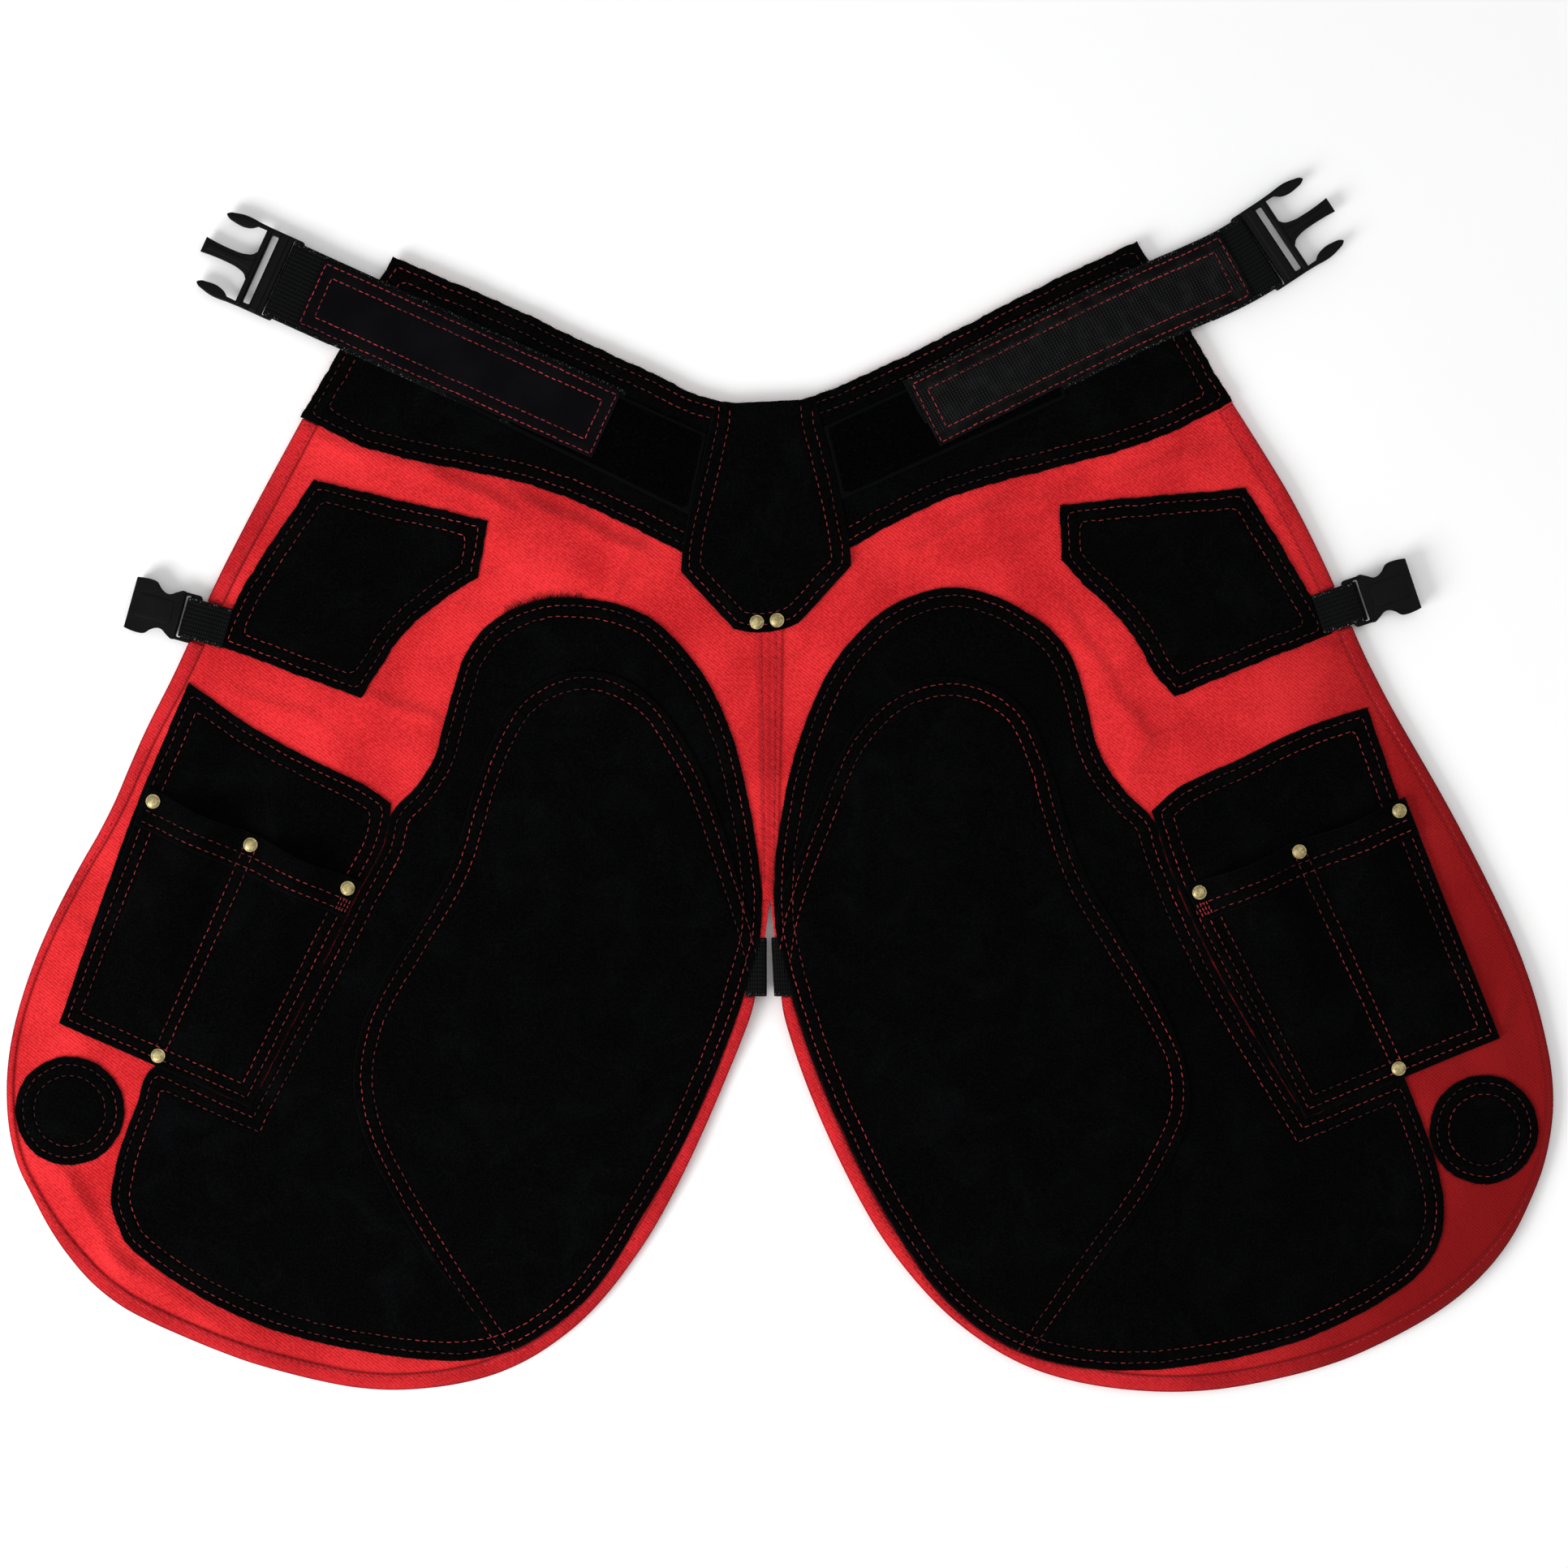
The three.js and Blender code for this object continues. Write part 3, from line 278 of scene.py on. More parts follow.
def joined_up(loop):
    """A closed loop as a line that ends where it starts."""
    return np.vstack([loop, loop[:1]])


def inside(points, loop):
    """Which points lie inside a loop."""
    x, y = points[:, :1], points[:, 1:2]
    ax, ay = loop.T
    bx, by = np.roll(loop, -1, 0).T
    rise = np.where(by == ay, 1e-9, by - ay)
    crossed = ((ay > y) != (by > y)) & (x < (bx - ax) * (y - ay) / rise + ax)
    return crossed.sum(1) % 2 == 1


def inset(loop, distance):
    """The loop at a distance inside another."""
    before = loop - np.roll(loop, 1, 0)
    after = np.roll(loop, -1, 0) - loop
    before /= np.linalg.norm(before, axis=1)[:, None]
    after /= np.linalg.norm(after, axis=1)[:, None]
    left = np.stack([-(before + after)[:, 1], (before + after)[:, 0]], 1)
    bend = np.maximum(1 + (before * after).sum(1), 0.25)
    moved = loop + np.sign(area_of(loop)) * distance * left / bend[:, None]
    away, _ = nearest(moved, joined_up(loop))
    return moved[away > 0.985 * abs(distance)]


def row_inside(loop, distance):
    """A row of stitches that runs round inside a loop."""
    return joined_up(inset(loop, distance))


def outline_of(node, step=3.0, corner=32, rough=0.0):
    """The outline of a CAD node seen from above, smooth, and as uneven as if cut by hand."""
    work = bmesh.new()
    work.from_mesh(frame["nodes"][node].data)
    bmesh.ops.remove_doubles(work, verts=work.verts, dist=2e-6)
    work.normal_update()
    seen = {}
    for face in work.faces:
        if face.normal.z > 0.3:
            for edge in face.edges:
                seen[edge] = seen.get(edge, 0) + 1
    border = dict.fromkeys(edge for edge, count in seen.items() if count == 1)
    loops = []
    while border:
        edge = next(iter(border))
        del border[edge]
        start, here = edge.verts
        chain = [start]
        while edge and here is not start:
            chain.append(here)
            edge = next((e for e in here.link_edges if e in border), None)
            if edge:
                del border[edge]
                here = edge.other_vert(here)
        loops.append(np.array([v.co.xy for v in chain]) / MM)
    work.free()
    loop = max((loop for loop in loops if len(loop) > 2), key=lambda some: abs(area_of(some)))
    loop = smoothed(anticlockwise(loop), step, corner)
    along = lengths_along(loop)
    lengths = (7, 12, 23, 41, 90)
    waves = sum(np.sin(along * 2 * math.pi / wave + rng.uniform(0, 6.28)) for wave in lengths)
    ahead = np.roll(loop, -1, 0) - np.roll(loop, 1, 0)
    ahead /= np.linalg.norm(ahead, axis=1)[:, None]
    return loop + rough * waves[:, None] * np.stack([ahead[:, 1], -ahead[:, 0]], 1)


# Making pieces


def finish(name, work, material, nodes=(), slot=None, shape=None, angle=50):
    """Turns a bmesh in millimetres into a piece in metres.

    Shape moves the points and gives the attributes on them.
    """
    mesh = bpy.data.meshes.new(name)
    bmesh.ops.recalc_face_normals(work, faces=work.faces)
    for edge in work.edges:
        edge.smooth = len(edge.link_faces) == 2 and edge.calc_face_angle(0) < math.radians(angle)
    for face in work.faces:
        face.smooth = True
    work.to_mesh(mesh)
    work.free()
    place = np.empty(len(mesh.vertices) * 3)
    mesh.vertices.foreach_get("co", place)
    place = place.reshape(-1, 3)
    if shape:
        place, values = shape(place)
        for key, value in values.items():
            held = mesh.attributes.new(key, "FLOAT", "POINT")
            held.data.foreach_set("value", np.asarray(value, np.float32))
    mesh.vertices.foreach_set("co", (place * MM).ravel())
    mesh.materials.append(material)
    mesh.update()
    piece = bpy.data.objects.new(name, mesh)
    bpy.context.collection.objects.link(piece)
    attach(piece, "root")
    if nodes:
        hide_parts(*nodes)
    slots = {part["node"]: part["material_slot"] for part in frame["record"]["subparts"]}
    slot or slots[nodes[0]]
    return piece


def thicken(work, thick, rounding):
    """Gives a flat bmesh a thickness and rounds its rims."""
    made = bmesh.ops.extrude_face_region(work, geom=work.faces[:])
    upper = [item for item in made["geom"] if isinstance(item, bmesh.types.BMVert)]
    bmesh.ops.translate(work, vec=(0, 0, thick), verts=upper)
    bmesh.ops.recalc_face_normals(work, faces=work.faces)
    rims = [
        edge
        for edge in work.edges
        if len(edge.link_faces) == 2
        and abs(edge.verts[0].co.z - edge.verts[1].co.z) < 1e-4
        and edge.calc_face_angle(0) > 1
    ]
    bmesh.ops.bevel(
        work,
        geom=rims,
        offset=rounding,
        offset_type="OFFSET",
        segments=2,
        profile=0.5,
        affect="EDGES",
        material=-1,
    )


def filled(loop, spacing, lines=(), rim=1.7):
    """A flat bmesh that fills a loop, with points along its rim and along sewn lines."""
    round_it = joined_up(loop)
    points = [inset(loop, rim)]
    for line in lines:
        middle = evenly(line, 2.6)
        points += [middle, beside(middle, 1.5), beside(middle, -1.5)]
    points = np.concatenate(points)
    away, _ = nearest(points, round_it)
    points = points[(away > 1.2) & inside(points, loop)]
    low, high = loop.min(0), loop.max(0)
    rows = np.arange(low[1], high[1], spacing * math.sqrt(3) / 2)
    columns = np.arange(low[0], high[0], spacing)
    grid = np.array([(x + spacing / 2 * (k % 2), y) for k, y in enumerate(rows) for x in columns])
    grid = grid[inside(grid, loop)]
    free = nearest(grid, round_it)[0] > rim + spacing * 0.4
    for line in lines:
        free &= nearest(grid, evenly(line, 6))[0] > 1.5 + spacing * 0.35
    corners = [Vector(p) for p in np.concatenate([loop, points, grid[free]])]
    made = delaunay_2d_cdt(corners, [], [list(range(len(loop)))], 1, 0.05, False)
    corners, faces = np.array([v[:] for v in made[0]]), np.array(made[2])
    faces = faces[inside(corners[faces].mean(1), loop)]
    used, faces = np.unique(faces, return_inverse=True)
    work = bmesh.new()
    placed = [work.verts.new((x, y, 0)) for x, y in corners[used]]
    for face in faces.reshape(-1, 3):
        work.faces.new([placed[corner] for corner in face])
    return work


def sewn_down(points, rows):
    """How far the stitches of some rows pull the cloth in: 1 on a row, 0 away from it."""
    pull = np.zeros(len(points))
    for row in rows:
        pull = np.maximum(pull, np.exp(-((nearest(points, row)[0] / 1.1) ** 2)))
    return pull


def panel(name, node, loop, low, thick, material, rows=(), spacing=5.0, over=None):
    """A piece cut from sheet that lies on the apron. Over gives it a further height."""
    work = filled(loop, spacing, rows)
    thicken(work, thick, 0.5)
    round_it = joined_up(loop)

    def shape(place):
        flat, up = place[:, :2].copy(), np.clip(place[:, 2] / thick, 0, 1)
        away, along = nearest(flat, round_it)
        pull = sewn_down(flat, rows)
        place[:, 2] += ground(*flat.T) + low - up * PULL * pull
        if over:
            place[:, 2] += over(flat, up)
        return place, {"edge": away, "along": along, "pull": pull}

    return finish(name, work, material, [node], shape=shape)


def declare(piece, loop, **more):
    """Works out the size and area of a piece's outline, and keeps neither."""
    size = np.ptp(loop, axis=0) * MM
    abs(area_of(loop)) * MM * MM


def flat_strip(length, width, thick, step, columns, rounding=0.5):
    """A flat strip of material as a bmesh: along X from 0, across Y, up from 0."""
    work = bmesh.new()
    rows = max(1, round(length / step))
    bmesh.ops.create_grid(work, x_segments=rows, y_segments=columns, size=0.5)
    bmesh.ops.scale(work, vec=(length, width, 1), verts=work.verts)
    bmesh.ops.translate(work, vec=(length / 2, 0, 0), verts=work.verts)
    thicken(work, thick, rounding)
    return work


def cast(outlines, low, high, rounding=0.5):
    """A moulded plate as a bmesh: its first outline, with the others as holes."""
    curve = bpy.data.curves.new("plate", "CURVE")
    curve.dimensions = "2D"
    curve.fill_mode = "BOTH"
    curve.extrude = (high - low) / 2 - rounding
    curve.bevel_depth = rounding
    curve.bevel_resolution = 2
    curve.offset = -rounding
    for loop in outlines:
        spline = curve.splines.new("POLY")
        spline.points.add(len(loop) - 1)
        corners = np.column_stack([loop, np.zeros(len(loop)), np.ones(len(loop))])
        spline.points.foreach_set("co", corners.ravel())
        spline.use_cyclic_u = True
    drawn = bpy.data.objects.new("plate", curve)
    mesh = bpy.data.meshes.new_from_object(drawn)
    bpy.data.objects.remove(drawn)
    work = bmesh.new()
    work.from_mesh(mesh)
    bpy.data.meshes.remove(mesh)
    bmesh.ops.remove_doubles(work, verts=work.verts, dist=1e-4)
    bmesh.ops.translate(work, vec=(0, 0, (low + high) / 2), verts=work.verts)
    return work


def together(works):
    """Several bmeshes as one."""
    whole = bmesh.new()
    for work in works:
        mesh = bpy.data.meshes.new("part")
        bmesh.ops.recalc_face_normals(work, faces=work.faces)
        work.to_mesh(mesh)
        work.free()
        whole.from_mesh(mesh)
        bpy.data.meshes.remove(mesh)
    return whole


def copies(template, frames):
    """Many small copies of a bmesh: each frame is a place and the three axes of the copy."""
    template.verts.ensure_lookup_table()
    points = np.array([v.co[:] for v in template.verts])
    sides = np.array([[v.index for v in face.verts] for face in template.faces])
    places = np.array([place for place, _ in frames])
    axes = np.array([axis for _, axis in frames])
    moved = places[:, None] + np.einsum("ka,nab->nkb", points, axes)
    sides = sides[None] + (np.arange(len(frames)) * len(points))[:, None, None]
    mesh = bpy.data.meshes.new("copies")
    mesh.from_pydata(moved.reshape(-1, 3), [], sides.reshape(-1, sides.shape[-1]).tolist())
    work = bmesh.new()
    work.from_mesh(mesh)
    bpy.data.meshes.remove(mesh)
    template.free()
    return work


# Materials


class Value:
    """An output in a material that can be used in sums."""

    def __init__(self, surface, socket):
        self.surface, self.socket = surface, socket

    def math(self, kind, *others):
        return self.surface.node("Math", dict(enumerate((self, *others))), operation=kind)

    def __add__(self, other):
        return self.math("ADD", other)

    def __sub__(self, other):
        return self.math("SUBTRACT", other)

    def __mul__(self, other):
        return self.math("MULTIPLY", other)

    def __rsub__(self, other):
        return self.math("MULTIPLY", -1).math("ADD", other)

    __radd__, __rmul__ = __add__, __mul__

    def sin(self):
        return self.math("SINE")

    def abs(self):
        return self.math("ABSOLUTE")

    def within(self, low, high):
        """0 below low, 1 above high, and smooth between."""
        ends = {"Value": self, "From Min": low, "From Max": high, "To Min": 0, "To Max": 1}
        return self.surface.node("MapRange", ends, interpolation_type="SMOOTHSTEP", clamp=True)


class Surface:
    """A material made of a principled shader and the nodes that feed it."""

    def __init__(self, name, **uniform):
        self.material = bpy.data.materials.new(name)
        self.material.use_nodes = True
        self.tree = self.material.node_tree
        self.shader = self.tree.nodes["Principled BSDF"]
        self.put(self.shader, {key.replace("_", " "): value for key, value in uniform.items()})
        self.place = self.node("TexCoord", output="Object")

    def put(self, target, inputs):
        for key, value in inputs.items():
            if isinstance(value, Value):
                self.tree.links.new(value.socket, target.inputs[key])
            else:
                target.inputs[key].default_value = value

    def node(self, kind, inputs=None, output=0, **settings):
        made = self.tree.nodes.new("ShaderNode" + kind)
        for key, value in settings.items():
            setattr(made, key, value)
        self.put(made, inputs or {})
        return Value(self, made.outputs[output])

    def noise(self, size, detail=2, **more):
        """Noise with features of about a size in millimetres."""
        inputs = {"Vector": self.place, "Scale": 1000 / size, "Detail": detail, **more}
        return self.node("TexNoise", inputs)

    def attribute(self, name):
        return self.node("Attribute", output="Fac", attribute_name=name)

    def axis(self, name):
        """One coordinate in millimetres."""
        return self.node("SeparateXYZ", {0: self.place}, output=name) * 1000

    def mix(self, share, first, second):
        inputs = {"Factor": share, 6: first, 7: second}
        return self.node("Mix", inputs, output=2, data_type="RGBA")

    def colour(self, value):
        self.put(self.shader, {"Base Color": value})

    def rough(self, value):
        self.put(self.shader, {"Roughness": value})

    def relief(self, height, depth, strength=1.0):
        """Bumps of a depth in millimetres."""
        inputs = {"Height": height, "Distance": depth * MM, "Strength": strength}
        self.put(self.shader, {"Normal": self.node("Bump", inputs)})


def shade(red, green, blue):
    """A colour given as it is seen, from 0 to 255."""
    seen = (red / 255, green / 255, blue / 255)
    return tuple(((c + 0.055) / 1.055) ** 2.4 if c > 0.04 else c / 12.92 for c in seen) + (1,)


def canvas_material(name, light, dark, groove, dent=0.55):
    """Woven cotton canvas: a diagonal twill with slubs and broad paler patches."""
    cloth = Surface(name, Roughness=0.9, Sheen_Weight=0.08, Sheen_Roughness=0.5, Specular_IOR_Level=0.12)
    x, y = cloth.axis("X"), cloth.axis("Y")
    twill = ((x * 0.62 + y * 0.78) * (2 * math.pi / 1.7) + cloth.noise(4, 2) * 3).sin()
    weft = ((y * 0.62 - x * 0.78) * (2 * math.pi / 1.05)).sin()
    weave = twill * 0.7 + weft * 0.3
    slub = cloth.noise(1.9, 3, Roughness=0.7)
    worn = cloth.noise(60, 4)
    fleck = cloth.noise(5, 4, Roughness=0.8).within(0.66, 0.74)
    tone = worn.within(0.3, 0.7) * 0.45 + slub.within(0.3, 0.7) * 0.4 + weave * 0.16 - fleck * 0.5
    body = cloth.mix(tone.within(-0.1, 1.0), dark, light)
    # Painted shade, deeper towards the right edge and the feet
    painted_shade = x.within(230, 470) * 0.9 + (y * -1).within(234, 364) * 0.3
    body = cloth.mix(painted_shade.within(0, 1) * 0.92, body, shade(116, 2, 4))
    # Painted shadow along the piece's edge, and painted shade in the dents along its stitches
    sewn = (1 - cloth.attribute("edge").within(0.3, 1.5)) * groove + cloth.attribute("pull") * dent
    cloth.colour(cloth.mix(sewn, body, shade(84, 2, 10)))
    cloth.relief(weave * 0.35 + slub * 1.1, 0.5, 0.85)
    return cloth.material


def suede_material(name):
    """Split leather with a brushed nap, a paler cut edge, and dents along its stitches with painted shade
    in them.
    """
    suede = Surface(name, Roughness=0.95, Specular_IOR_Level=0.03)
    brushed = suede.noise(34, 5, Roughness=0.65, Distortion=0.8)
    nap = suede.noise(1.3, 4, Roughness=0.7)
    tuft = suede.noise(6, 5, Roughness=0.85)
    cut = 1 - suede.attribute("edge").within(0.1, 0.8)
    pull = suede.attribute("pull")
    tone = brushed.within(0.42, 0.78) * 0.2 + nap.within(0.35, 0.8) * 0.4 + tuft.within(0.6, 0.78) * 0.4
    body = suede.mix(tone, shade(0, 0, 0), shade(16, 17, 19))
    # Painted shade in the dents along the stitches
    body = suede.mix(pull * 0.75, body, shade(0, 0, 0))
    suede.colour(suede.mix(cut * 0.5, body, shade(14, 15, 17)))
    suede.relief(nap * 0.6 + tuft * 0.5 + brushed * 0.3 - pull * 0.8, 0.5, 0.9)
    return suede.material


def webbing_material():
    """Woven strap: ribs across it and cords along it."""
    webbing = Surface("black_webbing", Roughness=0.75, Specular_IOR_Level=0.06)
    along, across = webbing.attribute("along"), webbing.attribute("across")
    rib = (along * (2 * math.pi / 1.5)).sin()
    cord = (across * (2 * math.pi / 2.6) + rib * 0.8).sin()
    fuzz = webbing.noise(0.8, 2)
    height = rib * 0.5 + cord * 0.35 + fuzz * 0.6
    body = webbing.mix((height * 0.4 + 0.25).within(0, 1), shade(0, 0, 0), shade(20, 21, 22))
    border = 1 - webbing.attribute("edge").within(1.2, 2.6)
    frayed = border * webbing.noise(1.1, 2).within(0.6, 0.68)
    webbing.colour(webbing.mix(frayed * 0.9, body, shade(104, 108, 104)))
    webbing.relief(height, 0.35, 0.9)
    return webbing.material


def thread_material(name, light, dark):
    """Twisted thread, duller in stretches."""
    thread = Surface(name, Roughness=0.6, Specular_IOR_Level=0.25)
    dusty = thread.noise(45, 3).within(0.38, 0.62) * 0.6 + 0.4
    thread.colour(thread.mix(thread.attribute("tone") * dusty, dark, light))
    thread.relief(thread.noise(0.35, 2), 0.12, 0.7)
    return thread.material


def loop_tape_material():
    """Looped tape: a fuzzy pile between two plain selvedges."""
    tape = Surface("loop_tape", Roughness=1.0, Specular_IOR_Level=0.03)
    fuzz = tape.noise(1.4, 5, Roughness=0.85)
    curl = tape.node("TexVoronoi", {"Vector": tape.place, "Scale": 800}, output="Distance")
    selvedge = 1 - tape.attribute("edge").within(1.6, 2.6)
    pile = tape.mix(fuzz.within(0.52, 0.8), shade(0, 0, 0), shade(26, 27, 28))
    tape.colour(tape.mix(selvedge * 0.5, pile, shade(12, 13, 14)))
    tape.relief((fuzz + curl * 0.6) * (1 - selvedge * 0.8), 0.9)
    return tape.material


def patch_material():
    """Smooth coated cover of the left belt."""
    cover = Surface("smooth_cover", Roughness=0.6, Specular_IOR_Level=0.04)
    grain = cover.node("TexVoronoi", {"Vector": cover.place, "Scale": 1400}, output="Distance")
    cloud = cover.noise(30, 3)
    cover.colour(cover.mix(cloud.within(0.3, 0.7), shade(1, 1, 3), shade(6, 6, 10)))
    cover.rough(0.5 + cloud * 0.2)
    cover.relief(grain * 0.4 + cover.noise(7, 2) * 0.7, 0.2, 0.8)
    return cover.material


def hook_material():
    """Hook tape of the right belt: rows of fine hooks between plain selvedges."""
    hook = Surface("hook_tape", Roughness=0.75, Specular_IOR_Level=0.08)
    along, across = hook.attribute("along"), hook.attribute("across")
    rows = (along * (2 * math.pi / 1.9) + across * 0.25).sin()
    pins = (across * (2 * math.pi / 1.7)).sin()
    field = 1 - (across.abs() - 14.5).within(0, 0.8)
    height = (rows.within(-0.3, 0.9) * (pins * 0.5 + 0.6)) * field
    tone = height * 0.8 + hook.noise(9, 3).within(0.4, 0.8) * 0.2
    hook.colour(hook.mix(tone, shade(0, 0, 0), shade(40, 41, 43)))
    hook.relief(height + hook.noise(0.7, 2) * 0.3, 0.7, 0.9)
    return hook.material


def plastic_material():
    """Moulded acetal with a satin skin."""
    plastic = Surface("buckle_plastic", Roughness=0.5, Specular_IOR_Level=0.1)
    smear = plastic.noise(14, 3)
    spark = plastic.noise(0.5, 2)
    plastic.colour(plastic.mix(smear.within(0.35, 0.7), shade(0, 0, 1), shade(4, 4, 5)))
    plastic.rough(0.42 + smear * 0.2 + spark * 0.06)
    plastic.relief(spark, 0.03, 0.6)
    return plastic.material


def brass_material():
    """Antique brass, dull and olive, rubbed bright in places."""
    brass = Surface("aged_brass", Metallic=1.0, Roughness=0.45)
    tarnish = brass.noise(2.4, 4, Roughness=0.7)
    brass.colour(brass.mix(tarnish.within(0.35, 0.75), shade(188, 174, 128), shade(120, 106, 68)))
    brass.rough(0.36 + tarnish * 0.3)
    brass.relief(tarnish + brass.noise(0.5, 2) * 0.4, 0.08, 0.7)
    return brass.material


CANVAS = canvas_material("red_canvas", shade(240, 50, 54), shade(176, 18, 25), 0.0)
# The hem and the seam are the same canvas in darker colours, which is painted shade
HEM = canvas_material("folded_canvas", shade(222, 40, 46), shade(158, 14, 22), 0.5)
SEAM = canvas_material("felled_canvas", shade(220, 38, 44), shade(158, 14, 22), 0.15, 0.3)
SUEDE = suede_material("black_suede")
WEBBING = webbing_material()
LOOP_TAPE = loop_tape_material()
SMOOTH = patch_material()
HOOK = hook_material()
PLASTIC = plastic_material()
BRASS = brass_material()
THREAD = thread_material("red_thread", shade(186, 52, 62), shade(50, 12, 17))
HEM_THREAD = thread_material("hem_thread", shade(214, 66, 74), shade(120, 10, 20))


# Sewing


class Sewing:
    """Gathers stitches, on the face and on the back, and makes each lot one piece."""

    def __init__(self, name, material, slot):
        self.name, self.material, self.slot = name, material, slot
        self.lots = []

    def row(self, line, top, pitch=STITCH_PITCH, length=STITCH_LENGTH, tone=0.4, keep=None):
        """A row of stitches along a line, on a face whose height is top(x, y)."""
        points = evenly(line, pitch)
        middle, run = (points[1:] + points[:-1]) / 2, points[1:] - points[:-1]
        if keep is not None:
            kept = keep(middle)
            middle, run = middle[kept], run[kept]
        if len(run) == 0:
            return
        turn = np.arctan2(run[:, 1], run[:, 0]) + rng.normal(0, 0.05, len(run))
        reach = np.minimum(np.linalg.norm(run, axis=1) * 0.8, length) * rng.normal(1, 0.07, len(run))
        fade = 0.25 * np.sin(np.cumsum(np.full(len(run), pitch)) / 37 + rng.uniform(0, 6))
        tones = np.clip(tone + fade + rng.normal(0, 0.15, len(run)), 0, 1)
        self.lots.append((middle + rng.normal(0, 0.12, middle.shape), turn, reach, tones, top))

    def make(self, below=None):
        """One piece of all the stitches, or of their bobbin threads on a lower face."""
        stitch = bmesh.new()
        bmesh.ops.create_uvsphere(stitch, u_segments=5, v_segments=4, radius=1)
        lying = Matrix.Rotation(math.pi / 2, 3, "Y")
        bmesh.ops.rotate(stitch, verts=stitch.verts, cent=(0, 0, 0), matrix=lying)
        for vertex in stitch.verts:
            vertex.co.x = math.copysign(abs(vertex.co.x) ** 0.6, vertex.co.x)
            vertex.co.z -= 0.9 * vertex.co.x**4
        bmesh.ops.triangulate(stitch, faces=stitch.faces)
        count = len(stitch.verts)
        frames, heights, tones = [], [], []
        for middle, turn, reach, tone, top in self.lots:
            for (x, y), angle, size in zip(middle, turn, reach):
                c, s = math.cos(angle), math.sin(angle)
                along = (c * size / 2, s * size / 2, 0)
                aside = (-s * STITCH_RADIUS, c * STITCH_RADIUS, 0)
                frames.append(((x, y, 0), (along, aside, (0, 0, STITCH_RADIUS))))
            heights.append((len(middle) * count, below or top))
            tones.append(np.repeat(tone, count))

        def shape(place):
            start = 0
            for number, top in heights:
                some = place[start : start + number]
                if below:
                    some[:, 2] *= -1
                some[:, 2] += top(some[:, 0], some[:, 1]) + (-0.1 if below else 0.05)
                start += number
            return place, {"tone": np.concatenate(tones)}

        name = self.name + ("_back" if below else "")
        work = copies(stitch, frames)
        return finish(name, work, self.material, slot=self.slot, shape=shape, angle=100)


def level(height):
    """The height of the upper face of a layer, a level above the canvas's underside."""
    return lambda x, y: ground(x, y) + height


ON_FIRST = level(FIRST + SUEDE_THICK - SUNK)
ON_SECOND = level(SECOND + SUEDE_THICK - SUNK)
ON_HEM = level(FIRST + HEM_THICK + 0.3)


def fuzz_along(loop, height, spacing, reach, keep=None):
    """Loose fibres that stand out from a cut edge of the suede."""
    points = evenly(joined_up(loop), spacing)
    ahead = np.gradient(points, axis=0)
    outward = np.arctan2(-ahead[:, 0], ahead[:, 1])
    fibre = bmesh.new()
    bmesh.ops.create_cone(fibre, segments=3, radius1=0.11, radius2=0.02, depth=1.0, cap_ends=False)
    bmesh.ops.translate(fibre, vec=(0, 0, 0.5), verts=fibre.verts)
    bmesh.ops.triangulate(fibre, faces=fibre.faces)
    if keep is not None:
        kept = keep(points)
        points, outward = points[kept], outward[kept]
    frames = []
    for (x, y), angle in zip(points, outward):
        angle += rng.normal(0, 0.6)
        lift = rng.uniform(-0.25, 0.5)
        length = reach * rng.uniform(0.4, 1.5)
        start = rng.uniform(-0.6, 0.1)
        c, s = math.cos(angle), math.sin(angle)
        base = (x + c * start, y + s * start, float(ground(x, y)) + height + rng.uniform(0.2, 1.2))
        along = (c * length, s * length, lift * length * 0.5)
        frames.append((base, ((-s, c, 0), (0, 0, 1), along)))
    return copies(fibre, frames)


# The legs and what is sewn on them

# The outer row of stitches on each knee patch, from foot to crotch
KNEE_ROWS = {
    "left": [
        (-158, -365), (-206.5, -292), (-228, -255.5), (-244, -221.5), (-250, -190), (-246.5, -163.5),
        (-243, -152.5), (-216, -104.5), (-191, -60.5), (-176, -12.5), (-164.5, 18), (-149, 42.5),
        (-114.5, 57.5), (-70, 38.5), (-57.5, 20), (-44.5, -2.5), (-35, -26), (-28, -47), (-18, -75.5),
        (-8, -109), (-5, -122),
    ],
    "right": [
        (156, -365), (196, -307), (241.5, -240), (255, -206.5), (253.5, -180), (240, -150), (216, -108.5),
        (190.5, -65), (176.5, -25), (167, 8.5), (151, 38), (115.5, 53.5), (82, 46), (56, 22), (34.5, -25),
        (16.5, -72.5), (10, -95), (7, -115),
    ],
}

# Corners of each pocket's front: outer and inner end of the mouth, inner and outer end of the foot
POCKETS = {
    "left": [(-380.8, -9.9), (-248.9, -68.8), (-318.4, -206.6), (-435.5, -155)],
    "right": [(391.3, -16), (256.1, -71.2), (330.8, -213.3), (449.8, -164.1)],
}
# How far a pocket stands open, its sewn margins, the strip between its cells, and its band
POCKET_OPEN = 15
POCKET_MARGIN = 12
POCKET_DIVIDER = 14
POCKET_BAND = 24

sewing, canvas_loops = {}, {}


